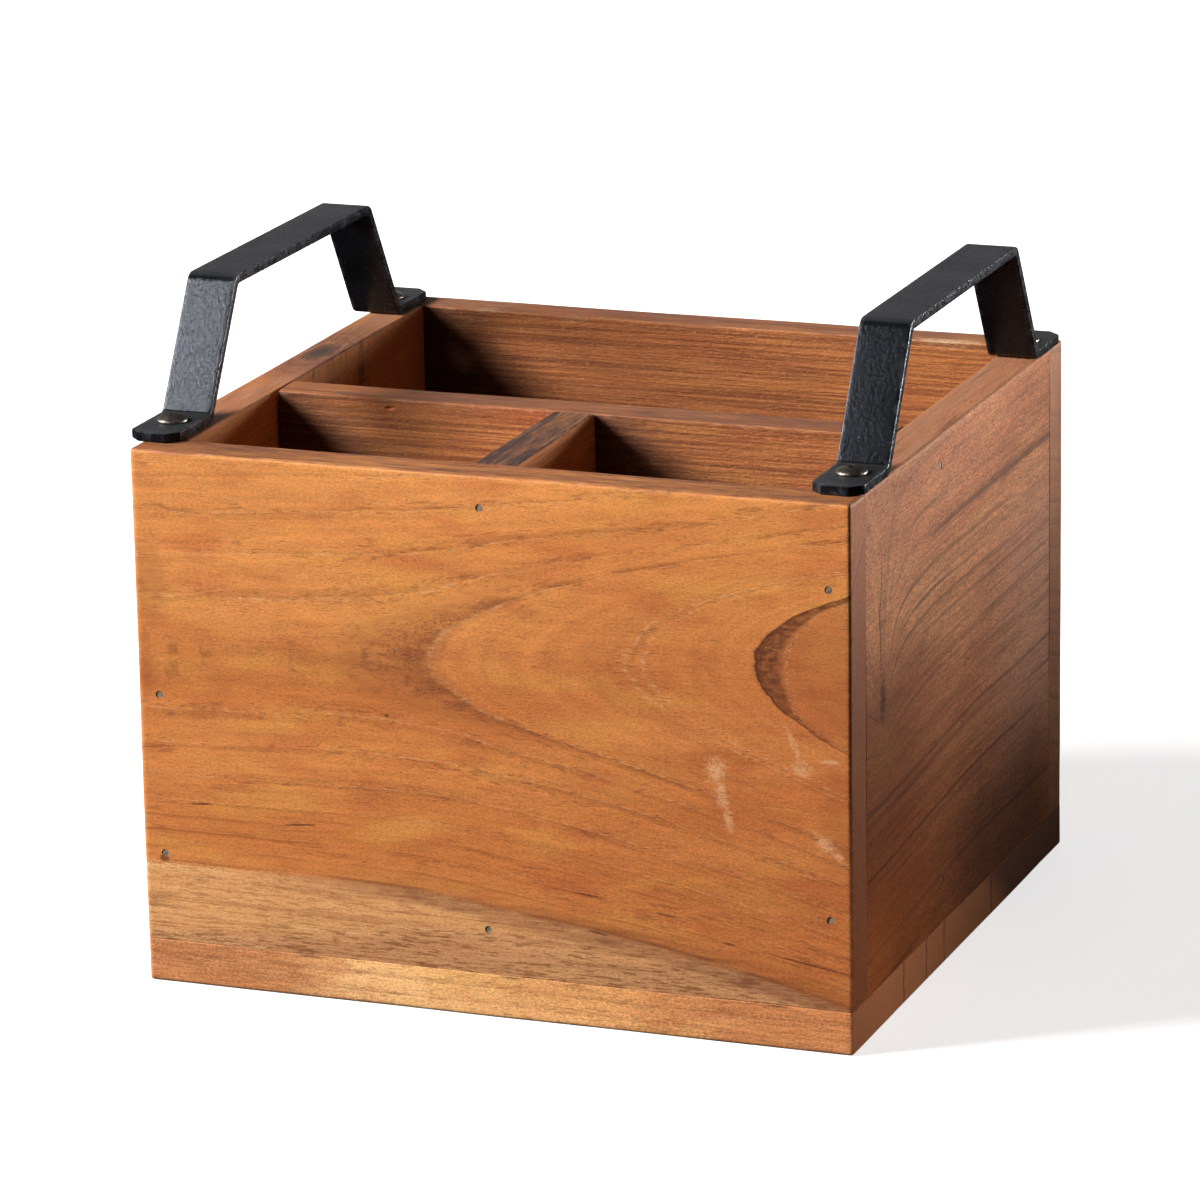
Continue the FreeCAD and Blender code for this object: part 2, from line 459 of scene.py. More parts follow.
    def rim_marks(self, colour: Wire) -> Wire:
        """Colour with the marks on this one board's upper edge; plain boards have none."""
        return colour

    def material(self) -> bpy.types.Material:
        """Builds the shader.

        Returns:
            The finished material.
        """
        self.begin()
        self.texture()
        bench, tone = self.bench, self.tone
        self.ring_place = self.radius()
        colour = self.rings(self.ground())
        colour = self.marks(colour)

        inside = self.inside()
        top = (self.z > BOX_TOP - RIM_DEPTH) * self.facing_z.ease(0.35, 0.85)
        end = abs(self.facing_along).ease(0.55, 0.9)
        pore = (self.streaks(3.0, 0.3, 21.3, 1.0) + self.early * 0.06).ease(0.17, 0.24)
        fleck = (self.streaks(2.4, 0.26, 27.1, 1.0) + self.early * 0.05).ease(0.19, 0.26) * (1 - end)
        colour = bench.mix(pore * 0.3, colour, tone.pore)
        colour = bench.mix(fleck * 0.22, colour, tone.fleck)
        colour = bench.mix(end * (tone.end_share + self.speck * 1.5), colour, tone.end)
        tubes = bench.cloud(bench.vector(self.x / 0.45, self.y / 0.45, self.z / 0.45), 1.0).ease(0.56, 0.7)
        colour = bench.mix(end * tubes * 0.4, colour, tone.pore)
        wear = tone.wear_share + self.fibre * 1.3 + self.veil * 1.2 + self.blotch * 0.8 + self.speck * 0.8
        colour = bench.mix(top * wear, colour, tone.worn)
        colour = bench.mix(top * self.streaks(26, 0.9, 33.7, 3.0).ease(0.04, 0.2) * 0.5, colour, tone.pore)
        colour = bench.mix(top * self.streaks(16, 0.7, 95.3).ease(0.1, 0.24) * 0.35, colour, tone.fleck)
        colour = self.rim_marks(colour)

        tear = self.streaks(5, 0.9, 31.9, 4.0, 0.7)
        saw = self.streaks(60, 0.7, 37.3, 3.0, 0.6)
        fuzz = self.streaks(1.3, 0.5, 39.1, 2.0, 0.6).ease(0.06, 0.22)
        colour = bench.mix(inside * (0.3 + saw.ease(0.1, -0.14) * 0.5), colour, tone.inner)
        colour = bench.mix(inside * fuzz * 0.5, colour, tone.gold)
        # Painted shadow: dark near each inner corner and widening downwards, where the shadow of the wall
        # falls on the faces towards the front
        for corner in self.corners:
            drop = (self.x - corner - (BOX_TOP - self.z) * 0.9 + self.blotch * 8.0).ease(24, -4)
            painted_shadow = drop * (self.x > corner - 0.5) * (self.facing_y < -0.6)
            colour = bench.mix(inside * painted_shadow * self.painted_shadow_share, colour, srgb(44, 18, 8))
        # Paler rounded edges: partly rubbed wood, partly a painted highlight
        arris = bench.mark("arris") * self.streaks(4, 1.6, 41.3, 3.0).ease(0.02, 0.16)
        colour = bench.mix(arris * 0.14, colour, tone.fleck)

        height = self.speck * 0.05 + self.fibre * 0.05 - pore * 0.05
        height = height + inside * (tear * 0.55 + saw * 0.25 + self.speck * 0.16) + top * self.speck * 0.1
        roughness = 0.5 + pore * 0.15 + self.fibre * 0.2 + inside * 0.25 + top * 0.1
        return bench.surface(
            Base_Color=colour,
            Roughness=roughness,
            Normal=bench.bump(height, 0.8),
            Specular_IOR_Level=tone.shine,
        )


class FrontWood(Wood):
    """Flat-sawn front board: arched figure, a dark arch by its right end and a pale lower edge."""

    arch_ring: float = 46.2
    sap_ring: float = 84.7
    pale_rings: tuple[float, ...] = (50.4, 51.0, 56.6, 59.0, 62.0, 66.8, 71.8)
    dark_rings: tuple[Pair, ...] = (
        (50.6, 0.2),
        (56.65, 0.55),
        (59.1, 0.25),
        (62.1, 0.3),
        (66.9, 0.34),
        (71.9, 0.26),
        (75.0, 0.4),
        (78.2, 0.5),
        (81.4, 0.4),
    )
    stroke_zones: tuple[Pair, ...] = (
        (56.3, 57.5),
        (58.8, 59.6),
        (61.6, 63.4),
        (66.3, 68.0),
        (73.6, 80.6),
    )
    smudges: tuple[tuple[Pair, Pair, float, float], ...] = (
        ((-88.0, 102.0), (6.0, 13.0), 0, 0.4),
        ((-89.5, 80.0), (4.0, 8.0), 0, 0.4),
        ((88.0, 58.0), (5.0, 20.0), 0, 0.3),
    )
    fillings: tuple[tuple[Pair, Pair, float], ...] = (
        ((57.8, 68.4), (3.0, 3.8), 0),
        ((59.3, 62.0), (2.0, 5.0), 12),
        ((60.9, 55.6), (1.2, 3.0), 12),
        ((84.8, 52.4), (3.6, 1.8), -40),
        ((88.0, 49.4), (1.8, 1.3), -40),
        ((77.0, 76.4), (1.0, 4.6), 22),
        ((79.4, 70.6), (3.0, 2.0), 0),
        ((86.0, 72.6), (3.0, 0.7), 0),
    )
    cracks: tuple[tuple[Pair, Pair, float], ...] = (
        ((25.2, 33.7), (4.2, 0.32), -6),
        ((44.6, 30.7), (3.6, 0.28), -7),
        ((80.6, 22.0), (11.0, 0.34), -9),
        ((60.6, 25.0), (2.0, 0.3), -8),
        ((27.4, 24.4), (3.2, 0.3), -9),
        ((-49.6, 44.2), (5.2, 0.3), 6),
        ((-76.2, 47.0), (4.0, 0.3), 4),
        ((-86.4, 32.0), (1.7, 1.0), 0),
        ((-26.0, 74.0), (0.7, 0.5), 0),
    )

    def radius(self) -> Wire:
        """Distance from a pith that dips to the left, where the rings run out straight."""
        bench, figure = self.bench, self.figure
        dip = self.z.ease(35, 70) * (3.0 - self.x * 0.07)
        up = self.z - figure.pith_across + dip
        back = self.y - figure.pith_depth
        right = bench.maths("MAXIMUM", self.x, 0.0)
        left = bench.maths("MINIMUM", self.x, 0.0)
        drawn_in = right * figure.taper + right * right * figure.swell
        drawn_in = drawn_in + (bench.maths("EXPONENT", left / 16.0) - 1.0) * 2.3
        drift = self.streaks(80, 26, 3.1) * figure.wander + self.streaks(9, 4, 5.7) * 0.4
        return bench.root(up * up + back * back) - drawn_in * (1 - up.ease(10, 35) * 0.6) + drift

    def tint(self) -> Wire:
        """Share of the light tone, which is most along the upper edge; this is partly the wood's golden
        tone and partly painted light on the upper part.
        """
        return super().tint() * 0.55 + self.z.ease(60, 125) * 0.55

    def painted_light_lift(self) -> Wire:
        """Painted light and shade: the upper middle and right are a little lighter, the lower right a
        little darker.
        """
        lighter = self.z.ease(85, 125) * self.x.ease(-70, -10) * 0.1
        return lighter - self.x.ease(0, 70) * self.z.ease(66, 30) * 0.12

    def redness(self) -> Wire:
        """Share of the red tone, which grows towards the lower right."""
        return super().redness() + self.x.ease(-30, 85) * self.z.ease(126, 92) * 0.3

    def rings(self, colour: Wire) -> Wire:
        """Colour with this board's own rings, pale and dark."""
        bench, radius = self.bench, self.ring_place
        dots = self.dots * self.streaks(24, 9, 45.7).ease(-0.16, 0.06)
        fade = self.streaks(34, 4, 47.9).ease(-0.14, 0.1)
        self.early = radius * 0.0
        for ring, share in self.dark_rings:
            band = radius.ease(ring + 0.9, ring) * radius.ease(ring - 0.05, ring + 0.05)
            colour = bench.mix(band * fade * share, colour, self.tone.deep)
        for ring in self.pale_rings:
            seam = abs(radius - ring).ease(0.16, 0.02)
            self.early = self.early + abs(radius - ring).ease(0.9, 0.1)
            colour = bench.mix(seam * dots * 0.42, colour, self.tone.fleck)
        stroke = bench.cloud(bench.vector(radius / 0.45 + 3.3, self.along / 5.0, 6.6), 2.0, 0.6)
        stroke = stroke.ease(0.52, 0.64) * self.streaks(20, 5, 79.1).ease(-0.14, 0.08)
        for low, high in self.stroke_zones:
            zone = radius.ease(low - 0.5, low + 0.3) * radius.ease(high + 0.7, high - 0.3)
            colour = bench.mix(stroke * zone * 0.42, colour, srgb(116, 62, 40))
        crescent = radius.ease(56.2, 56.8) * radius.ease(58.6, 57.0)
        crescent = crescent * self.x.ease(14, -8) * self.x.ease(-46, -22)
        crumbs = self.speck.ease(-0.04, 0.14) * 0.6 + self.blotch.ease(-0.1, 0.1) * 0.3
        colour = bench.mix(crescent * crumbs, colour, srgb(120, 62, 40))
        thread = self.streaks(14, 0.35, 77.3).ease(0.1, 0.22) * self.x.ease(20, -50) * self.z.ease(86, 112)
        return bench.mix(thread * 0.3, colour, self.tone.fleck)

    def arch(self, colour: Wire) -> Wire:
        """Adds the dark arch by the right end, widest at its tip."""
        bench = self.bench
        shown = self.x.ease(60, 68) * self.z.ease(70, 82)
        crumbs = self.growth(0.22, 61.3)
        rough = self.ring_place + crumbs * 0.4 + self.streaks(2.6, 1.3, 63.1) * 0.25
        width = self.z.ease(80, 94) * (0.95 - self.x.ease(74, 88) * 0.45) + 0.3
        depth = (self.arch_ring - rough) / width
        inner = depth.ease(0.0, 0.12)
        band = inner * depth.ease(1.6, 0.35)
        mottle = 0.7 + self.streaks(2.4, 1.2, 65.3, 3.0) * 1.6 + crumbs * 0.8 + self.speck * 0.8
        colour = bench.mix(inner * shown * 0.35, colour, srgb(156, 82, 46))
        colour = bench.mix(band * shown * mottle, colour, srgb(98, 52, 32))
        colour = bench.mix(abs(depth - 0.14).ease(0.2, 0.04) * shown * 0.65, colour, srgb(74, 38, 24))
        second = abs(depth - 0.82).ease(0.2, 0.05) * shown * mottle * 0.4
        colour = bench.mix(second, colour, srgb(84, 42, 26))
        seam = abs(depth - 1.2).ease(0.2, 0.03) * self.speck.ease(0.02, 0.14)
        return bench.mix(seam * shown * 0.4, colour, self.tone.fleck)

    def sapwood(self, colour: Wire) -> Wire:
        """Adds the pale, dashed wood along the lower edge, and painted light on the lower part of the
        board's ends.
        """
        bench, radius = self.bench, self.ring_place
        ragged = radius + self.fibre * 2.2 + self.speck * 2.0
        sap = ragged.ease(self.sap_ring - 0.5, self.sap_ring + 0.9)
        stain = ragged.ease(self.sap_ring - 0.4, self.sap_ring + 0.4)
        stain = stain * ragged.ease(self.sap_ring + 4.4, self.sap_ring + 1.6) * self.x.ease(-70, -15)
        rim = radius.ease(self.sap_ring - 4.0, self.sap_ring - 0.6) * (1 - sap)
        line = abs(radius - self.sap_ring + 0.2).ease(0.5, 0.1)
        line = line * self.streaks(30, 3, 53.9).ease(-0.12, 0.06)
        lower = radius + self.x * 0.09 + self.streaks(40, 6, 51.7) * 10
        grey = lower.ease(88.5, 94.0)
        dash = self.streaks(4.0, 0.55, 57.1).ease(0.02, 0.13)
        lines = self.streaks(36, 1.1, 59.3, 3.0, 0.6)
        pale = bench.mix(grey * 0.7, srgb(230, 168, 110), srgb(184, 134, 96))
        pale = bench.mix(lines.ease(0.0, 0.2) * 0.6, pale, srgb(140, 92, 58))
        pale = bench.mix(lines.ease(-0.02, -0.2) * 0.4, pale, srgb(250, 200, 142))
        pale = bench.mix(dash * (0.35 + grey * 0.35), pale, srgb(100, 60, 34))
        shade = 1.0 + self.speck * 1.1 + self.fibre * 0.4
        pale = bench.shaded(pale, shade)
        rim = rim * self.x.ease(-70, 50) * (0.8 + self.streaks(30, 1.2, 91.7) * 2.0)
        colour = bench.mix(rim * 0.55, colour, srgb(122, 64, 34))
        colour = bench.mix(sap * 0.8, colour, pale)
        colour = bench.mix(stain * (0.55 + self.blotch + self.speck * 1.6), colour, srgb(128, 72, 48))
        colour = bench.mix(line * 0.45, colour, srgb(92, 48, 26))
        # Painted light: the lower part of each end is lighter
        side = abs(self.facing_x) > 0.6
        return bench.mix(side * self.z.ease(60, 25) * 0.6, colour, srgb(206, 122, 74))

    def marks(self, colour: Wire) -> Wire:
        """Adds the arch, the sapwood, smudges, filled dents and fine cracks."""
        bench = self.bench
        outer = self.facing_y < -0.6
        fill = outer * (0.5 + self.blotch * 1.6 + self.speck * 1.6)
        for spot, size, turn, share in self.smudges:
            patch = self.oval(spot, size, turn, 1.6, 0.7) * (0.7 + self.blotch * 2.0 + self.speck * 3.0)
            colour = bench.mix(patch * outer * share, colour, srgb(146, 72, 40))
        colour = self.sapwood(self.arch(colour))
        for spot, size, turn in self.fillings:
            colour = bench.mix(self.oval(spot, size, turn, 2.0, 0.75) * fill, colour, srgb(236, 178, 128))
        for spot, size, turn in self.cracks:
            split = self.oval(spot, size, turn, 1.0, 0.5) * outer * 0.7
            colour = bench.mix(split, colour, srgb(64, 32, 18))
        return colour


class RightWood(Wood):
    """Right board: straight dark lines that dive into a knot by the front end."""

    knot: Pair = (-62.5, 82.0)
    lines: tuple[tuple[float, Pair, float, float], ...] = (
        (113.0, (-24, 84), 0.7, 0.9),
        (105.6, (-60, 40), 0.5, 0.8),
        (99.6, (-60, -10), 0.36, 0.5),
        (95.4, (-60, 30), 0.6, 0.5),
        (90.6, (-30, 84), 0.4, 0.7),
        (84.0, (-60, 20), 0.26, 0.5),
        (78.0, (-60, 0), 0.4, 0.6),
        (75.0, (0, 84), 0.32, 0.5),
        (60.4, (-84, 84), 0.55, 0.7),
        (57.6, (-84, 20), 0.36, 0.5),
        (52.6, (-84, 30), 0.3, 0.5),
        (44.5, (-84, 60), 0.75, 0.5),
        (41.8, (-84, 20), 0.4, 0.4),
        (32.0, (-60, 40), 0.26, 0.5),
        (25.0, (-84, 84), 0.3, 0.6),
    )

    def radius(self) -> Wire:
        """Distance from the pith, bent down towards the knot and a little to the front end."""
        bench = self.bench
        away = abs(self.y - self.knot[0])
        near = bench.maths("EXPONENT", away / -3.2) * 45.0 * self.z.ease(76, 96)
        dive = bench.maths("EXPONENT", away / -14.0) * 12.0 * self.z.ease(56, 84) + near
        sag = self.y.ease(20, -90) * self.z.ease(86, 60) * 5.0
        self.level = self.z + dive + sag + self.streaks(60, 12, 83.3) * 2.0
        back = self.x - self.figure.pith_depth
        up = self.level - self.figure.pith_across
        return bench.root(up * up + back * back)

    def marks(self, colour: Wire) -> Wire:
        """Adds dark mineral lines, the knot, a deeper orange towards the bottom, and painted light and
        shade on the outer face: a pale painted sheen over the rear, painted shade over the front, painted
        light on the lower front corner and a painted shadow wedge over the lower rear.
        """
        bench, radius = self.bench, self.ring_place
        fine = bench.cloud(bench.vector(radius / 1.0, self.along / 150, 4.4), 3.0, 0.7).ease(0.52, 0.66)
        broad = bench.cloud(bench.vector(radius / 4.2, self.along / 220, 7.7), 2.0, 0.6).ease(0.5, 0.7)
        fade = self.streaks(50, 8, 55.1).ease(-0.16, 0.12)
        colour = bench.mix(broad * 0.3, colour, srgb(98, 56, 34))
        colour = bench.mix(self.z.ease(95, 15) * 0.65, colour, srgb(172, 82, 24))
        # Painted shade: darker, deeper brown over the front half below its upper part
        front = self.y.ease(0, -55) * self.z.ease(104, 74)
        colour = bench.mix(front * 0.7, colour, srgb(132, 62, 14))
        # Painted sheen: paler, greyer colour over the rear half at middle height
        rear = self.y.ease(0, 75) * self.z.ease(22, 54) * self.z.ease(118, 84)
        colour = bench.mix(rear * 0.58, colour, srgb(226, 168, 138))
        colour = bench.mix(fine * fade * 0.5, colour, srgb(60, 32, 20))
        ragged = self.level + self.streaks(5, 1.2, 85.7) * 0.7
        for height, (first, last), share, half in self.lines:
            run = self.y.ease(first - 6, first + 6) * self.y.ease(last + 8, last - 8)
            line = abs(ragged - height).ease(half * 1.3, half * 0.3) * (0.75 + self.speck * 1.6)
            colour = bench.mix(line * run * share, colour, srgb(46, 26, 18))
        colour = self.spike(colour)
        dash = self.streaks(3.0, 0.35, 75.7, 1.0).ease(0.08, 0.2)
        colour = bench.mix(dash * 0.4, colour, srgb(70, 40, 28))
        # Painted light on the lower front corner, and a painted shadow in a wedge over the lower rear
        corner = self.y.ease(-40, -78) * self.z.ease(44, 14) * 0.6
        painted_shadow_wedge = self.y.ease(-50, 20) * self.y.ease(84, 56) * self.z.ease(60, 24) * 0.5
        shade = 1.0 + self.speck * 0.9 + self.fibre * 0.7 + corner - painted_shadow_wedge
        return bench.shaded(colour, shade)

    def spike(self, colour: Wire) -> Wire:
        """Adds the knot: a dark core, pale fibres that rise from it and one dark split."""
        bench = self.bench
        bent = self.y + self.streaks(9, 14, 87.9) * 5.0
        rise = self.z.ease(88, 98) * self.z.ease(136, 116)
        pale = abs(bent - self.knot[0] + 5.5).ease(5.0, 1.5) * rise * (0.5 + self.speck * 2.0)
        colour = bench.mix(pale * 0.6, colour, srgb(224, 150, 96))
        split = abs(bent - self.knot[0] + 1.2).ease(0.7, 0.15) * self.z.ease(86, 94) * self.z.ease(120, 108)
        colour = bench.mix(split * 0.6, colour, srgb(56, 30, 18))
        glow = self.oval((self.knot[0], self.knot[1] - 14.0), (14.0, 8.0), 0, 1.0, 0.8)
        core = self.oval(self.knot, (2.4, 6.5), 0, 1.6, 0.7)
        colour = bench.mix(glow * 0.5, colour, srgb(158, 98, 34))
        return bench.mix(core * 0.75, colour, srgb(54, 30, 18))


class LeftWood(Wood):
    """Left board: a knot shows on its upper edge and as dark bands down its inner face."""

    knot: Pair = (18.9, -86.1)
    bands: tuple[tuple[float, float, float], ...] = (
        (1.5, 1.3, 0.75),
        (12.0, 4.0, 0.3),
        (32.5, 3.2, 0.8),
        (38.0, 1.0, 0.5),
    )

    def marks(self, colour: Wire) -> Wire:
        """Adds the bands of the knot to the inner face."""
        bench = self.bench
        inner = self.facing_x > 0.6
        bent = self.y + (bench.cloud(bench.vector(self.y / 7, self.z / 9, 3.3), 3.0, 0.6) - 0.5) * 9.0
        drawn = bench.cloud(bench.vector(self.y / 1.6, self.z / 16, 8.1), 3.0, 0.6)
        near = self.y.ease(-4, 4) * self.y.ease(44, 36)
        colour = bench.mix(self.y.ease(36, 44) * inner * 0.5, colour, srgb(186, 104, 40))
        colour = bench.mix(near * inner * drawn.ease(0.45, 0.7) * 0.6, colour, srgb(70, 32, 12))
        for place, half, share in self.bands:
            band = abs(bent - place).ease(half, half * 0.2) * inner * share
            colour = bench.mix(band, colour, srgb(52, 22, 8))
        return colour

    def rim_marks(self, colour: Wire) -> Wire:
        """Adds the knot to the upper edge."""
        bench = self.bench
        top = self.facing_z > 0.6
        run = (self.y - self.knot[0]) / 9.5
        side = (self.x - self.knot[1]) / 3.6
        reach = bench.root(run * run + side * side) + self.streaks(6, 2, 49.3, 3.0) * 0.9
        swirl = bench.maths("SINE", reach * 9.0).ease(0.2, 0.9) * reach.ease(3.4, 0.8)
        red = self.y.ease(-14, -2) * self.y.ease(16, 4)
        dusk = self.y.ease(-6, 10) * self.y.ease(62, 34) * (0.6 + self.fibre * 1.6 + self.speck * 2.0)
        colour = bench.mix(dusk * top * 0.9, colour, srgb(96, 66, 54))
        colour = bench.mix(red * top * 0.45, colour, srgb(136, 80, 58))
        colour = bench.mix(swirl * top * 0.5, colour, srgb(92, 58, 44))
        return bench.mix(reach.ease(1.3, 0.3) * top * 0.85, colour, srgb(62, 48, 42))


class BackWood(Wood):
    """Back board: a pale chip and a rubbed spot along its inner upper edge, and a painted shadow in its
    left inner corner.
    """

    corners: tuple[float, ...] = (-INNER_X,)
    painted_shadow_share: float = 0.9
    chips: tuple[tuple[Pair, Pair, float], ...] = (
        ((64.0, 135.2), (9.0, 1.5), 0.75),
        ((-38.0, 134.6), (4.4, 1.0), 0.25),
        ((-62.0, 135.3), (5.0, 0.9), 0.35),
    )

    def rim_marks(self, colour: Wire) -> Wire:
        """Adds the pale spots."""
        near = self.y < 77.5
        for spot, size, share in self.chips:
            patch = self.oval(spot, size, 0, 2.2, 0.8) * near * (0.8 + self.speck * 2.0)
            colour = self.bench.mix(patch * share, colour, srgb(236, 196, 156))
        return colour


class LongDividerWood(Wood):
    """Long divider: a painted shadow in the left corner of each front compartment."""

    corners: tuple[float, ...] = (-INNER_X, 4.4)


class BottomWood(Wood):
    """Floor board glued up from staves, each cut from another part of the log."""

    stave: float = 39.0
    edge: float = 93.0
    cuts: tuple[float, ...] = (-47.0, -29.0, -15.0, 24.0)

    def begin(self) -> None:
        """Opens the tree and shifts the rings from stave to stave."""
        super().begin()
        count = self.bench.maths("FLOOR", (self.y + self.edge) / self.stave)
        self.chance = self.bench.node("TexWhiteNoise", {"noise_dimensions": "1D"}, {"W": count})
        self.across = self.y - (count + 0.5) * self.stave + self.edge + self.chance * 30.0
        self.depth = self.z + self.chance * 40.0

    def marks(self, colour: Wire) -> Wire:
        """Gives each stave its own depth of colour, dashes, ruddy ends and a dirty seam under the walls."""
        bench = self.bench
        dash = self.streaks(3.2, 0.5, 57.1).ease(0.04, 0.15)
        colour = bench.mix(dash * 0.34, colour, self.tone.deep)
        shade = 0.88 + self.chance * 0.3 + self.speck * 0.7
        colour = bench.shaded(colour, shade)
        drifted = self.x + self.streaks(14, 4, 93.1) * 60.0
        grain = 0.5 + self.speck * 2.4 + self.fibre * 2.2 + self.veil
        russet = bench.mix(grain, srgb(152, 84, 50), srgb(222, 134, 82))
        colour = bench.mix(drifted.ease(-22, -62) * 0.8, colour, russet)
        colour = bench.mix(drifted.ease(24, 66) * 0.75, colour, russet)
        upright = abs(self.facing_z).ease(0.7, 0.3)
        seam = upright * self.z.ease(10.0, 10.8) * self.streaks(16, 8, 73.9, 3.0).ease(0.0, 0.14)
        colour = bench.mix(seam * 0.75, colour, srgb(64, 38, 26))
        knot = self.oval((69.0, -86.0), (2.2, 30.0), 0, 0.6, 0.4) * abs(self.z - 4.0).ease(3.0, 1.6)
        return bench.mix(knot * 0.4, colour, srgb(150, 86, 56))

    def rim_marks(self, colour: Wire) -> Wire:
        """Paints light on the right end, adds the joints between its staves, and paints a shadow wedge over
        the rear of the right end.
        """
        bench = self.bench
        side = self.facing_x > 0.6
        # Painted light: the right end is lighter
        colour = bench.mix(side * (0.6 + self.speck * 1.5), colour, srgb(216, 134, 88))
        # Painted shadow: a dark wedge over the rear of the right end
        colour = bench.mix(side * (self.y + self.z * 1.5).ease(30, 46) * 0.75, colour, srgb(96, 54, 34))
        bent = self.y + self.streaks(9, 3, 89.3) * 3.0
        for cut in self.cuts:
            colour = bench.mix(abs(bent - cut).ease(0.9, 0.2) * side * 0.5, colour, srgb(70, 40, 26))
        return colour


class StrapCoat:
    """Fine-textured black coat on steel, paler along its edges, partly rubbed and partly a painted
    highlight, and with a grey veil where level, partly dust and partly painted light on the tops.
    """

    name: str = "black_strap_coat"

    def material(self) -> bpy.types.Material:
        """Builds the shader.

        Returns:
            The finished material.
        """
        bench = Bench(bpy.data.materials.new(self.name))
        x, y, z = bench.place()
        peel = bench.cloud(bench.vector(x / 1.0, y / 1.2, z / 1.2), 3.0, 0.5)
        grit = bench.cloud(bench.vector(x / 0.28, y / 0.28, z / 0.28), 2.0, 0.6)
        patch = bench.cloud(bench.vector(x / 14, y / 14, z / 14), 3.0, 0.55)
        dust = bench.cloud(bench.vector(x / 0.8, y / 0.8, z / 0.8), 1.0, 0.4).ease(0.79, 0.84)
        rub = bench.cloud(bench.vector(x / 3.5, y / 3.5, z / 3.5), 3.0, 0.65).ease(0.44, 0.62)
        # Paler along the edges: partly rubbed coat, partly a painted highlight
        worn = bench.mark("arris") * rub
        scratch = bench.cloud(bench.vector(x / 0.25, y / 7, z / 7), 1.0, 0.4).ease(0.74, 0.8)
        colour = bench.mix(patch.ease(0.35, 0.7), srgb(13, 14, 16), srgb(24, 25, 29))
        colour = bench.mix(scratch * 0.25, colour, srgb(92, 94, 100))
        colour = bench.mix(dust * 0.5, colour, srgb(150, 150, 150))
        colour = bench.mix(worn * 0.14, colour, srgb(128, 130, 136))
        # Grey veil on level faces: partly dust, partly painted light on the tops of the bars
        level = bench.facing()[2].ease(0.75, 0.95)
        colour = bench.mix(level * (0.05 + patch * 0.14), colour, srgb(130, 130, 132))
        across = bench.mark("crown")
        height = peel * 0.16 + grit * 0.05 - across * across * 0.08
        roughness = 0.05 + peel * 0.28 + level * 0.24 + patch * 0.08 + grit * 0.06 + dust * 0.2
        return bench.surface(
            Base_Color=colour,
            Roughness=roughness,
            Normal=bench.bump(height, 0.8),
            Specular_IOR_Level=0.2,
            Specular_Tint=(0.83, 0.89, 1.0, 1.0),
        )


@dataclass(frozen=True)
class BareMetal:
    """Plain metal of a fastener, clouded and finely scratched."""

    name: str
    bright: Colour
    dark: Colour
    gloss: float
    metallic: float

    def material(self) -> bpy.types.Material:
        """Builds the shader.

        Returns:
            The finished material.
        """
        bench = Bench(bpy.data.materials.new(self.name))
        x, y, z = bench.place()
        cloud = bench.cloud(bench.vector(x / 1.3, y / 1.3, z / 1.3), 4.0, 0.6).ease(0.32, 0.68)
        scratch = bench.cloud(bench.vector(x / 0.12, y / 1.6, z / 0.4), 2.0, 0.6)
        colour = bench.mix(cloud, self.dark, self.bright)
        roughness = self.gloss + scratch * 0.2 - cloud * 0.06
        return bench.surface(
            Base_Color=colour,
            Metallic=self.metallic,
            Roughness=roughness,
            Normal=bench.bump(scratch * 0.02, 0.6),
        )


class FloorPaint:
    """Pale studio floor, kept evenly light far from the object."""

    name: str = "pale_floor"

    def material(self) -> bpy.types.Material:
        """Builds the shader.

        Returns:
            The finished material.
        """
        bench = Bench(bpy.data.materials.new(self.name))
        x, y, _ = bench.place()
        reach = bench.root(x * x + y * y)
        glow = reach.ease(60.0, 900.0)
        tint = bench.mix(glow, (0.72, 0.72, 0.72, 1.0), (0.9, 0.9, 0.9, 1.0))
        return bench.surface(
            Base_Color=(0.86, 0.86, 0.85, 1.0), Roughness=0.7, Emission_Color=tint, Emission_Strength=1.0
        )


def new_object(name: str, shape: bmesh.types.BMesh, material: bpy.types.Material) -> bpy.types.Object:
    """Turns a bmesh into an object of the scene.

    Args:
        name: Name of the piece.
        shape: Its form, which is used up.
        material: Its finish.

    Returns:
        The object.
    """
    mesh = bpy.data.meshes.new(name)
    shape.to_mesh(mesh)
    shape.free()
    mesh.materials.append(material)
    made = bpy.data.objects.new(name, mesh)
    bpy.context.scene.collection.objects.link(made)
    return made


def place_on_frame(piece: bpy.types.Object, node: str) -> None:
    """Makes a piece ride on the body in the place of a node.

    Args:
        piece: The finished piece.
        node: Node that it stands for.
    """
    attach(piece, BODY)
    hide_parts(node)
    log.info("%s: %d faces for node %s", piece.name, len(piece.data.polygons), node)


def carve(piece: bpy.types.Object, cutter: bmesh.types.BMesh, crossing: bool = False) -> None:
    """Cuts a shape out of a piece.

    Args:
        piece: The piece that loses material.
        cutter: What is cut away, which is used up.
        crossing: Whether parts of the cutter overlap each other.
    """
    tool = new_object(piece.name + "_cutter", cutter, piece.data.materials[0])
    step = piece.modifiers.new("carve", "BOOLEAN")
    step.operation = "DIFFERENCE"
    step.solver = "EXACT"
    step.use_self = crossing
    step.object = tool
    bpy.context.view_layer.update()
    graph = bpy.context.evaluated_depsgraph_get()
    carved = bpy.data.meshes.new_from_object(
        piece.evaluated_get(graph), preserve_all_data_layers=True, depsgraph=graph
    )
    piece.modifiers.remove(step)
    old = piece.data
    piece.data = carved
    carved.name = piece.name
    bpy.data.meshes.remove(old)
    shape = tool.data
    bpy.data.objects.remove(tool)
    bpy.data.meshes.remove(shape)


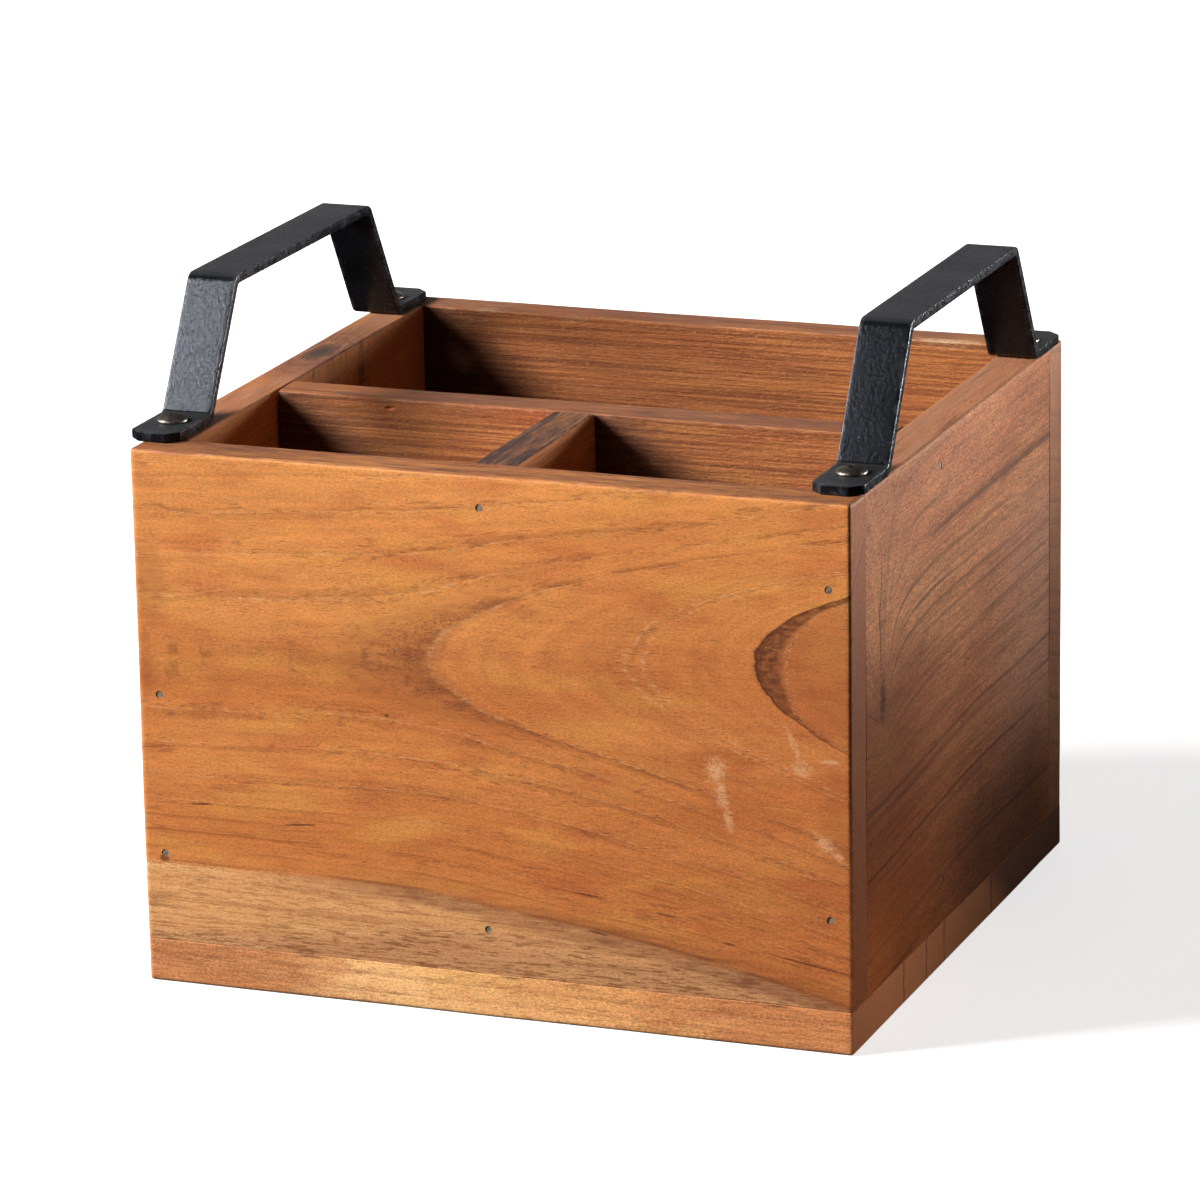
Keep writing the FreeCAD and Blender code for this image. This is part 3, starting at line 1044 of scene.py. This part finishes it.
def shade(piece: bpy.types.Object, crease: float) -> None:
    """Smooths a piece's shading, except over edges sharper than crease degrees."""
    piece.data.polygons.foreach_set("use_smooth", [True] * len(piece.data.polygons))
    piece.data.set_sharp_from_angle(angle=math.radians(crease))
    even = piece.modifiers.new("even_shading", "WEIGHTED_NORMAL")
    even.keep_sharp = True


@dataclass(frozen=True)
class Pin:
    """A brad as it lies in the frame: its head's middle, the way it points and its head's radius."""

    mouth: Vector
    direction: Vector
    radius: float


def pins_of(node: str) -> list[Pin]:
    """Finds the brads of a node.

    Args:
        node: Node that holds a row of brads.

    Returns:
        One pin for each brad.
    """
    shape = bmesh.new()
    shape.from_mesh(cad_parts[node].data)
    bmesh.ops.remove_doubles(shape, verts=shape.verts, dist=1e-6)
    left = dict.fromkeys(shape.verts)
    pins = []
    while left:
        island = [next(iter(left))]
        left.pop(island[0])
        for vert in island:
            for edge in vert.link_edges:
                other = edge.other_vert(vert)
                if other in left:
                    left.pop(other)
                    island.append(other)
        low = Vector([min(v.co[i] for v in island) for i in range(3)])
        high = Vector([max(v.co[i] for v in island) for i in range(3)])
        size = high - low
        axis = max(range(3), key=lambda i: size[i])
        middle = (low + high) / 2
        way = unit(axis)
        rim = max(island, key=lambda v: (v.co - middle).cross(way).length)
        at_low = rim.co[axis] < middle[axis]
        mouth = middle.copy()
        mouth[axis] = low[axis] if at_low else high[axis]
        pins.append(Pin(mouth, way * (1 if at_low else -1), size[(axis + 1) % 3] / 2))
    shape.free()
    return pins


def unit(axis: int) -> Vector:
    """Unit vector along an axis."""
    made = Vector((0.0, 0.0, 0.0))
    made[axis] = 1.0
    return made


@dataclass(frozen=True)
class Chip:
    """A splintered-off corner: its middle and its half sizes in millimetres."""

    middle: Triple
    size: Triple


@dataclass
class Board:
    """One board of the box, sawn to its node's size, eased, slightly uneven and drilled for its brads."""

    node: str
    wood: Wood
    pins: Sequence[Pin]
    arris: float = 0.9
    lip: float = 0.6
    joint: float = 0.2
    slice_length: float = 8.0
    sway: float = 0.16
    ripple: float = 0.05
    edge_row: float = 1.6
    rub_reach: float = 1.5
    joint_rub: float = 0.15
    outer_x: float = 91.5
    outer_y: float = 86.0
    outer_top: float = BOX_TOP
    brad_depth: float = 1.05
    mouth_gap: float = 0.06
    chips: Sequence[Chip] = ()
    covered: Sequence[Triple] = ()

    def build(self) -> bpy.types.Object:
        """Makes the piece and puts it in the place of its node.

        Returns:
            The finished piece.
        """
        low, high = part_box(self.node)
        shape = bmesh.new()
        bmesh.ops.create_cube(shape, size=1.0)
        bmesh.ops.scale(shape, vec=high - low, verts=shape.verts)
        bmesh.ops.translate(shape, vec=(low + high) / 2, verts=shape.verts)
        self.round_edges(shape)
        self.slice_up(shape, low, high)
        self.mark_rub_and_highlight(shape)
        self.let_wander(shape)
        piece = new_object(self.node + "_wood", shape, self.wood.material())
        self.drill(piece, low, high)
        shade(piece, CREASE)
        place_on_frame(piece, self.node)
        return piece

    def ease_of(self, edge: bmesh.types.BMEdge) -> float:
        """Rounding of an edge in metres, by the planes of the box that it lies on."""
        middle = (edge.verts[0].co + edge.verts[1].co) / (2 * MM)
        at_top = abs(middle.z - self.outer_top) < HAIR
        outer = [
            abs(abs(middle.x) - self.outer_x) < HAIR,
            abs(abs(middle.y) - self.outer_y) < HAIR,
            at_top or abs(middle.z) < HAIR,
        ]
        if sum(outer) == 2:
            return self.arris * MM
        return (self.lip if at_top else self.joint) * MM

    def round_edges(self, shape: bmesh.types.BMesh) -> None:
        """Rounds the block's edges, the outer arrises most."""
        for size in (self.arris, self.lip, self.joint):
            edges = [
                edge
                for edge in shape.edges
                if edge.calc_face_angle(0.0) > 1.2 and math.isclose(self.ease_of(edge), size * MM)
            ]
            bmesh.ops.bevel(
                shape, geom=edges, offset=size * MM, segments=3, profile=0.5, affect="EDGES", material=-1
            )

    def mark_rub_and_highlight(self, shape: bmesh.types.BMesh) -> None:
        """Marks the rounded edges as rubbed and for a painted highlight, the outer ones and the rim most.
        """
        rub_and_highlight = shape.verts.layers.float.new("arris")
        shape.normal_update()
        for vert in shape.verts:
            first = vert.link_faces[0].normal
            if all(face.normal.dot(first) > 0.998 for face in vert.link_faces):
                continue
            place = vert.co / MM
            outer = (
                abs(abs(place.x) - self.outer_x) < self.rub_reach,
                abs(abs(place.y) - self.outer_y) < self.rub_reach,
                abs(place.z - self.outer_top) < self.rub_reach or place.z < self.rub_reach,
            )
            at_rim = place.z > self.outer_top - self.rub_reach
            vert[rub_and_highlight] = 1.0 if sum(outer) > 1 or at_rim else self.joint_rub

    def slice_up(self, shape: bmesh.types.BMesh, low: Vector, high: Vector) -> None:
        """Cuts the block's faces into cells, with a narrow row beside each edge."""
        for axis in Axis:
            first = low[axis.value] + self.edge_row * MM
            last = high[axis.value] - self.edge_row * MM
            count = max(1, round((last - first) / (self.slice_length * MM)))
            for index in range(count + 1):
                spot = Vector((0.0, 0.0, 0.0))
                spot[axis.value] = first + (last - first) * index / count
                everything = shape.verts[:] + shape.edges[:] + shape.faces[:]
                bmesh.ops.bisect_plane(shape, geom=everything, plane_co=spot, plane_no=unit(axis.value))

    def let_wander(self, shape: bmesh.types.BMesh) -> None:
        """Moves the surface a hair off true, as hand-finished wood is."""
        start = Vector((self.wood.figure.seed, 0.0, 0.0))
        for vert in shape.verts:
            slow = noise.noise_vector(vert.co * 22.0 + start)
            quick = noise.noise_vector(vert.co * 95.0 + start)
            vert.co += (slow * self.sway + quick * self.ripple) * MM
            vert.co.z = max(vert.co.z, 0.0)

    def drill(self, piece: bpy.types.Object, low: Vector, high: Vector) -> None:
        """Cuts the mouths of the brads and the chips into the piece.

        Args:
            piece: The board.
            low: Lowest corner of the board.
            high: Highest corner of the board.
        """
        cutter = bmesh.new()
        for pin in self.pins:
            inner = pin.mouth + pin.direction * MM
            outer = pin.mouth - pin.direction * MM
            within = all(low[i] < inner[i] < high[i] for i in range(3))
            hidden = any((Vector(spot) * MM - pin.mouth).length < 2 * MM for spot in self.covered)
            if within and not hidden and not all(low[i] < outer[i] < high[i] for i in range(3)):
                self.add_mouth(cutter, pin)
        for chip in self.chips:
            self.add_chip(cutter, chip)
        if cutter.faces:
            carve(piece, cutter)
        else:
            cutter.free()

    def add_mouth(self, cutter: bmesh.types.BMesh, pin: Pin) -> None:
        """Adds the mouth of one brad to what is cut away."""
        radius = pin.radius + self.mouth_gap * MM
        turn = Vector((0, 0, 1)).rotation_difference(pin.direction).to_matrix().to_4x4()
        place = Matrix.Translation(pin.mouth) @ turn
        bmesh.ops.create_cone(
            cutter,
            cap_ends=True,
            segments=20,
            radius1=radius,
            radius2=radius,
            depth=2 * self.brad_depth * MM,
            matrix=place,
        )

    def add_chip(self, cutter: bmesh.types.BMesh, chip: Chip) -> None:
        """Adds one splintered corner to what is cut away."""
        made = bmesh.ops.create_icosphere(cutter, subdivisions=3, radius=1.0)
        for vert in made["verts"]:
            vert.co *= 1.0 + 0.22 * noise.noise(vert.co * 2.3)
        size = Matrix.Diagonal(Vector(chip.size) * MM).to_4x4()
        place = Matrix.Translation(Vector(chip.middle) * MM) @ size
        bmesh.ops.transform(cutter, matrix=place, verts=made["verts"])


@dataclass
class StrapHandle:
    """Flat bar bent into a handle, with a foot at each end, sizes in millimetres."""

    node: str
    coat: bpy.types.Material
    thickness: float = 2.4
    bend_radius: float = 1.3
    foot_length: float = 20.8
    grip_length: float = 85.8
    corner: float = 3.0
    edge: float = 0.38
    rub_width: float = 0.9
    hole_inset: float = 12.5
    hole_radius: float = 2.05
    bend_steps: int = 6

    def build(self) -> bpy.types.Object:
        """Makes the piece and puts it in the place of its node.

        Returns:
            The finished piece.
        """
        low, high = (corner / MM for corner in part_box(self.node))
        shape = bmesh.new()
        self.bend_bar(shape, low, high)
        self.cut_corners(shape, low, high)
        self.round_edges(shape, low, high)
        bmesh.ops.scale(shape, vec=(MM, MM, MM), verts=shape.verts)
        piece = new_object(self.node + "_strap", shape, self.coat)
        self.drill(piece, low, high)
        shade(piece, CREASE)
        place_on_frame(piece, self.node)
        return piece

    def bend_bar(self, shape: bmesh.types.BMesh, low: Vector, high: Vector) -> None:
        """Draws the bar's section out from one foot to the other.

        Args:
            shape: Where the bar is made.
            low: Lowest corner of the handle.
            high: Highest corner of the handle.
        """
        rise = high.z - low.z - self.thickness
        middle = (low.y + high.y) / 2
        fold = low.y + self.foot_length
        slope = math.atan2(rise, middle - self.grip_length / 2 - fold)
        inner, outer = self.bend_radius, self.bend_radius + self.thickness
        fold_reach = inner * math.tan(slope / 2)
        bend_reach = outer * math.tan(slope / 2)
        leg = rise / math.sin(slope) - fold_reach - bend_reach
        made = bmesh.ops.create_grid(shape, x_segments=1, y_segments=1, size=0.5)
        width = high.x - low.x
        bmesh.ops.scale(shape, vec=(width, self.thickness, 1.0), verts=made["verts"])
        bmesh.ops.rotate(shape, matrix=Matrix.Rotation(math.pi / 2, 3, "X"), verts=made["verts"])
        start = Vector(((low.x + high.x) / 2, low.y, low.z + self.thickness / 2))
        bmesh.ops.translate(shape, vec=start, verts=made["verts"])
        tip = Tip(shape, shape.faces[:][0], start, 0.0, self.thickness, self.bend_steps)
        tip.run(self.foot_length - fold_reach)
        tip.bend(slope, inner)
        tip.run(leg)
        tip.bend(-slope, inner)
        tip.run(self.grip_length - 2 * bend_reach)
        tip.bend(-slope, inner)
        tip.run(leg)
        tip.bend(slope, inner)
        tip.run(self.foot_length - fold_reach)
        bmesh.ops.recalc_face_normals(shape, faces=shape.faces)

    def cut_corners(self, shape: bmesh.types.BMesh, low: Vector, high: Vector) -> None:
        """Cuts the corners off both feet."""
        corners = [
            edge
            for edge in shape.edges
            if abs(edge.verts[0].co.y - edge.verts[1].co.y) < TOUCH
            and abs(edge.verts[0].co.x - edge.verts[1].co.x) < TOUCH
            and min(edge.verts[0].co.y - low.y, high.y - edge.verts[0].co.y) < TOUCH
        ]
        bmesh.ops.bevel(
            shape, geom=corners, offset=self.corner, segments=1, profile=0.5, affect="EDGES", material=-1
        )

    def round_edges(self, shape: bmesh.types.BMesh, low: Vector, high: Vector) -> None:
        """Rounds every sharp edge of the bar, marks its sides and ends as rubbed and for a painted
        highlight, and measures its width.
        """
        sharp = [edge for edge in shape.edges if edge.calc_face_angle(0.0) > 0.7]
        bmesh.ops.bevel(
            shape, geom=sharp, offset=self.edge, segments=2, profile=0.5, affect="EDGES", material=-1
        )
        inset = self.edge + self.rub_width
        for line, way in (
            (low.x + inset, Axis.X),
            (high.x - inset, Axis.X),
            (low.y + self.corner + inset, Axis.Y),
            (high.y - self.corner - inset, Axis.Y),
        ):
            everything = shape.verts[:] + shape.edges[:] + shape.faces[:]
            spot = unit(way.value) * line
            bmesh.ops.bisect_plane(shape, geom=everything, plane_co=spot, plane_no=unit(way.value))
        rub_and_highlight = shape.verts.layers.float.new("arris")
        crown = shape.verts.layers.float.new("crown")
        for vert in shape.verts:
            vert[crown] = (2 * vert.co.x - low.x - high.x) / (high.x - low.x)
            side = min(vert.co.x - low.x, high.x - vert.co.x) < inset - 0.05
            end = min(vert.co.y - low.y, high.y - vert.co.y) < inset - 0.05
            vert[rub_and_highlight] = 1.0 if side or end else 0.0

    def drill(self, piece: bpy.types.Object, low: Vector, high: Vector) -> None:
        """Cuts the screw holes through both feet."""
        cutter = bmesh.new()
        for line in (low.y + self.hole_inset, high.y - self.hole_inset):
            place = Vector(((low.x + high.x) / 2, line, low.z + self.thickness / 2)) * MM
            bmesh.ops.create_cone(
                cutter,
                cap_ends=True,
                segments=24,
                radius1=self.hole_radius * MM,
                radius2=self.hole_radius * MM,
                depth=2 * self.thickness * MM,
                matrix=Matrix.Translation(place),
            )
        carve(piece, cutter)


@dataclass
class Tip:
    """The moving end of a bar as it is drawn out and bent in an upright plane."""

    shape: bmesh.types.BMesh
    face: bmesh.types.BMFace
    place: Vector
    slope: float
    thickness: float
    steps: int

    def heading(self) -> Vector:
        """The way the bar runs on."""
        return Vector((0.0, math.cos(self.slope), math.sin(self.slope)))

    def region(self) -> list:
        """The end face with its edges and corners."""
        return [self.face, *self.face.edges, *self.face.verts]

    def follow(self, geometry: list) -> None:
        """Takes the end face from what an operator made last."""
        self.face = next(item for item in geometry if isinstance(item, bmesh.types.BMFace))

    def run(self, length: float) -> None:
        """Draws the bar out straight."""
        made = bmesh.ops.extrude_face_region(self.shape, geom=self.region())["geom"]
        verts = [item for item in made if isinstance(item, bmesh.types.BMVert)]
        step = self.heading() * length
        bmesh.ops.translate(self.shape, vec=step, verts=verts)
        self.follow(made)
        self.place = self.place + step

    def bend(self, angle: float, radius: float) -> None:
        """Bends the bar up or down about a centre at radius from its inner face."""
        side = 1.0 if angle > 0 else -1.0
        normal = Vector((0.0, -math.sin(self.slope), math.cos(self.slope))) * side
        centre = self.place + normal * (radius + self.thickness / 2)
        made = bmesh.ops.spin(
            self.shape,
            geom=self.region(),
            cent=centre,
            axis=(1.0, 0.0, 0.0),
            angle=angle,
            steps=self.steps,
            use_duplicate=False,
        )["geom_last"]
        self.follow(made)
        turn = Matrix.Rotation(angle, 3, "X")
        self.place = centre + turn @ (self.place - centre)
        self.slope += angle


@dataclass
class HandleScrew:
    """Raised-head screw with a cross recess, sizes in millimetres."""

    node: str
    metal: bpy.types.Material
    turn: float
    head_height: float = 2.0
    rim_height: float = 0.7
    head_radius: float = 3.8
    shank_radius: float = 1.75
    point_length: float = 4.0
    recess_length: float = 4.8
    recess_width: float = 1.25
    recess_depth: float = 1.5
    bulge: float = 0.08
    under_rim: float = 0.25
    under_ease: float = 0.15
    steps: int = 40
    dome_steps: int = 7

    def build(self) -> bpy.types.Object:
        """Makes the piece and puts it in the place of its node.

        Returns:
            The finished piece.
        """
        low, high = (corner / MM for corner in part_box(self.node))
        middle = Vector(((low.x + high.x) / 2, (low.y + high.y) / 2, 0.0))
        shape = bmesh.new()
        verts = [shape.verts.new((radius, 0.0, height)) for radius, height in self.outline(low.z, high.z)]
        edges = [shape.edges.new(pair) for pair in zip(verts, verts[1:])]
        bmesh.ops.spin(
            shape,
            geom=verts + edges,
            cent=(0, 0, 0),
            axis=(0, 0, 1),
            angle=2 * math.pi,
            steps=self.steps,
            use_merge=True,
        )
        bmesh.ops.remove_doubles(shape, verts=shape.verts, dist=1e-4)
        bmesh.ops.recalc_face_normals(shape, faces=shape.faces)
        place = Matrix.Translation(middle * MM) @ Matrix.Scale(MM, 4)
        bmesh.ops.transform(shape, matrix=place, verts=shape.verts)
        piece = new_object(self.node + "_turned", shape, self.metal)
        carve(piece, self.recess(middle, high.z), crossing=True)
        shade(piece, SCREW_CREASE)
        place_on_frame(piece, self.node)
        return piece

    def outline(self, tip: float, top: float) -> list[Pair]:
        """Half outline from the top of the head to the point.

        Args:
            tip: Height of the point.
            top: Height of the head's crown.

        Returns:
            Radius and height of each corner.
        """
        seat = top - self.head_height
        crown = self.head_height - self.rim_height
        ball = (self.head_radius**2 + crown**2) / (2 * crown)
        reach = math.asin(self.head_radius / ball)
        leans = [reach * step / self.dome_steps for step in range(self.dome_steps + 1)]
        dome = [(ball * math.sin(lean), top - ball + ball * math.cos(lean)) for lean in leans]
        return dome + [
            (self.head_radius + self.bulge, seat + self.rim_height * 0.7),
            (self.head_radius + self.bulge, seat + self.under_rim),
            (self.head_radius - self.under_ease, seat),
            (self.shank_radius, seat),
            (self.shank_radius, tip + self.point_length),
            (0.0, tip),
        ]

    def recess(self, middle: Vector, top: float) -> bmesh.types.BMesh:
        """Cross-shaped driver recess, narrower at its floor."""
        cutter = bmesh.new()
        for quarter in (0.0, 90.0):
            made = bmesh.ops.create_cube(cutter, size=1.0)["verts"]
            floor = [vert for vert in made if vert.co.z < 0]
            bmesh.ops.scale(cutter, vec=(0.45, 0.62, 1.0), verts=floor)
            size = Matrix.Diagonal((self.recess_length, self.recess_width, 2 * self.recess_depth)).to_4x4()
            turn = Matrix.Rotation(math.radians(self.turn + quarter), 4, "Z")
            place = Matrix.Translation(Vector((middle.x, middle.y, top)))
            bmesh.ops.transform(cutter, matrix=Matrix.Scale(MM, 4) @ place @ turn @ size, verts=made)
        return cutter


@dataclass(frozen=True)
class Softbox:
    """A square studio light: places and size in metres, power in watts, its beam's opening in degrees."""

    name: str
    place: Triple
    target: Triple
    size: float
    power: float
    spread: float = 180.0
    gloss_only: bool = False

    def hang(self) -> None:
        """Puts the light into the scene; gloss_only keeps it off matt surfaces."""
        data = bpy.data.lights.new(self.name, "AREA")
        data.shape = "SQUARE"
        data.size = self.size
        data.energy = self.power
        data.spread = math.radians(self.spread)
        made = bpy.data.objects.new(self.name, data)
        made.location = self.place
        aim = Vector(self.target) - Vector(self.place)
        made.rotation_euler = aim.to_track_quat("-Z", "Y").to_euler()
        made.visible_diffuse = not self.gloss_only
        bpy.context.scene.collection.objects.link(made)


@dataclass(frozen=True)
class Studio:
    """Floor, lights and camera. The camera's sizes are in pixels of the photograph and in millimetres."""

    frame_pixels: float = 1200.0
    aim_pixel: Pair = (614.08, 653.89)
    focal_pixels: float = 6264.03
    aim_height: float = 67.75
    distance: float = 1574.87
    azimuth: float = 20.726
    elevation: float = 16.224
    roll: float = -0.986
    sensor: float = 36.0
    floor_size: float = 15.0
    lights: tuple[Softbox, ...] = (
        Softbox("key_light", (-2.01, -1.18, 1.31), (0.0, -0.04, 0.12), size=0.88, power=143.0),
        Softbox(
            "sheen_light",
            (-0.609, -0.869, 1.011),
            (-0.089, -0.05, 0.153),
            size=0.16,
            power=0.072,
            spread=14.0,
            gloss_only=True,
        ),
        Softbox("side_light", (0.78, 0.66, 0.2), (0.0915, 0.0, 0.25), size=0.2, power=0.46, spread=24.0),
        Softbox(
            "low_light", (0.30, -0.16, 0.02), (0.0915, -0.055, 0.006), size=0.06, power=0.007, spread=32.0
        ),
        Softbox("back_light", (-0.6, 1.8, 0.7), (0.0, 0.0, 0.15), size=1.3, power=1.6),
    )
    air_low: float = 0.035
    air_rise: float = 0.04

    def build(self) -> None:
        """Makes the whole studio."""
        self.floor()
        for light in self.lights:
            light.hang()
        self.ambient()
        self.camera()
        settings = bpy.context.scene.view_settings
        settings.view_transform = "Standard"

    def floor(self) -> None:
        """Lays the pale floor."""
        shape = bmesh.new()
        bmesh.ops.create_grid(shape, x_segments=8, y_segments=8, size=self.floor_size)
        made = new_object("studio_floor", shape, FloorPaint().material())
        made.visible_diffuse = False
        made.visible_glossy = False

    def ambient(self) -> None:
        """Fills the shadows with a little light, stronger from above."""
        bench = Bench(bpy.data.worlds.new("studio_air"))
        rise = bench.parts(bench.node("TexCoord", {}, {}, "Generated"))[2]
        glow = rise.ease(-0.3, 0.7) * self.air_rise + self.air_low
        bench.close("OutputWorld", bench.node("Background", {}, {"Strength": glow}))
        bpy.context.scene.world = bench.owner

    def camera(self) -> None:
        """Sets the camera at the photograph's viewing angle."""
        azimuth, elevation, roll = (
            math.radians(angle) for angle in (self.azimuth, self.elevation, self.roll)
        )
        ahead = Vector((
            -math.sin(azimuth) * math.cos(elevation),
            math.cos(azimuth) * math.cos(elevation),
            -math.sin(elevation),
        ))
        level = ahead.cross(Vector((0.0, 0.0, 1.0))).normalized()
        upright = level.cross(ahead)
        right = level * math.cos(roll) + upright * math.sin(roll)
        up = upright * math.cos(roll) - level * math.sin(roll)
        data = bpy.data.cameras.new("photo_camera")
        data.sensor_width = self.sensor
        data.lens = self.sensor * self.focal_pixels / self.frame_pixels
        data.shift_x = -(self.aim_pixel[0] / self.frame_pixels - 0.5)
        data.shift_y = self.aim_pixel[1] / self.frame_pixels - 0.5
        made = bpy.data.objects.new("photo_camera", data)
        turn = Matrix((right, up, -ahead)).transposed().to_4x4()
        spot = (Vector((0.0, 0.0, self.aim_height)) - ahead * self.distance) * MM
        made.matrix_world = Matrix.Translation(spot) @ turn
        bpy.context.scene.collection.objects.link(made)
        bpy.context.scene.camera = made


BRAD_NODES = (
    "front_left_brads",
    "front_right_brads",
    "back_left_brads",
    "back_right_brads",
    "front_divider_brads",
    "cross_divider_brads",
    "left_divider_brads",
    "right_divider_brads",
    "bottom_front_brads",
    "bottom_back_brads",
    "bottom_left_brads",
    "bottom_right_brads",
    "bottom_divider_brads",
)


def boards(pins: Sequence[Pin]) -> list[Board]:
    """All boards of the box with their wood.

    Args:
        pins: Every brad of the box.

    Returns:
        The boards, ready to build.
    """
    x, y, z = Axis.X, Axis.Y, Axis.Z
    front = FrontWood(
        "front_board_wood",
        Figure(x, z, y, 93.0, -31.0, 4.9, taper=0.09, swell=0.0006, wander=1.6, seed=1.0),
        Tone(
            light=srgb(228, 148, 80),
            worn=srgb(112, 70, 54),
            end=srgb(136, 68, 28),
            end_share=0.62,
            shine=0.24,
        ),
    )
    back = BackWood("back_board_wood", Figure(x, z, y, -70.0, 40.0, 5.6, wander=5.0, seed=12.0))
    pale_top = srgb(188, 132, 100)
    left = LeftWood(
        "left_board_wood",
        Figure(y, z, x, 60.0, -40.0, 5.2, taper=0.08, wander=5.0, seed=23.0),
        Tone(worn=srgb(168, 118, 92), inner=srgb(190, 122, 62)),
    )
    right = RightWood(
        "right_board_wood",
        Figure(y, z, x, -40.0, 30.0, 6.4, wander=4.0, seed=34.0, band=0.5),
        Tone(
            light=srgb(214, 142, 92),
            warm=srgb(192, 120, 76),
            red=srgb(174, 104, 68),
            gold=srgb(208, 142, 92),
            deep=srgb(110, 62, 34),
            worn=pale_top,
            shine=0.14,
        ),
    )
    bottom = BottomWood(
        "bottom_board_wood",
        Figure(x, y, z, 0.0, -22.0, 4.4, wander=3.0, seed=45.0, band=0.5),
        Tone(
            light=srgb(252, 196, 132),
            warm=srgb(238, 168, 104),
            gold=srgb(244, 186, 112),
            red=srgb(214, 136, 82),
            end=srgb(178, 106, 64),
            end_share=0.6,
            shine=0.24,
        ),
    )
    long_one = LongDividerWood(
        "long_divider_wood",
        Figure(x, z, y, -30.0, 20.0, 5.0, wander=5.0, seed=56.0),
        Tone(worn=srgb(122, 78, 60)),
    )
    short_one = Wood(
        "short_divider_wood",
        Figure(y, z, x, -20.0, 34.0, 5.0, wander=4.0, seed=67.0),
        Tone(worn=srgb(76, 52, 46), inner=srgb(180, 104, 36), wear_share=0.84),
    )
    corner = Chip((92.6, -87.0, 0.2), (2.2, 1.9, 4.6))
    gap = Chip((-80.6, -22.2, 70.0), (0.85, 6.0, 150.0))
    nick = Chip((-50.0, -22.3, 133.0), (1.6, 0.7, 0.6))
    return [
        Board("front_board", front, pins, covered=((-86.0, -86.0, 114.5), (86.0, -86.0, 74.0))),
        Board("back_board", back, pins),
        Board("left_board", left, pins),
        Board("right_board", right, pins),
        Board("bottom_board", bottom, pins, chips=(corner,)),
        Board("long_divider", long_one, pins, joint=0.5, chips=(gap, nick)),
        Board("short_divider", short_one, pins, joint=0.5),
    ]


def dress_brads(metal: bpy.types.Material) -> None:
    """Gives the brads their finish; their shapes are the frame's own."""
    for node in BRAD_NODES:
        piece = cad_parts[node]
        piece.data.materials.clear()
        piece.data.materials.append(metal)
        log.info("%s: finish only", node)


def main() -> None:
    """Builds the dressed object and its studio."""
    logging.basicConfig(level=logging.INFO, format="%(name)s %(message)s")
    noise.seed_set(WANDER_SEED)
    pins = [pin for node in BRAD_NODES for pin in pins_of(node)]
    for board in boards(pins):
        board.build()
    coat = StrapCoat().material()
    for node in ("left_handle", "right_handle"):
        StrapHandle(node, coat).build()
    screw_metal = BareMetal(
        "screw_metal", bright=srgb(168, 154, 142), dark=srgb(104, 94, 86), gloss=0.32, metallic=1.0
    ).material()
    for node, turn in (
        ("left_front_screw", 24.0),
        ("left_rear_screw", 61.0),
        ("right_front_screw", 8.0),
        ("right_rear_screw", 40.0),
    ):
        HandleScrew(node, screw_metal, turn).build()
    brad_metal = BareMetal(
        "brad_metal", bright=srgb(170, 150, 132), dark=srgb(98, 82, 70), gloss=0.5, metallic=0.2
    )
    dress_brads(brad_metal.material())
    Studio().build()


if __name__ == "__main__":
    main()
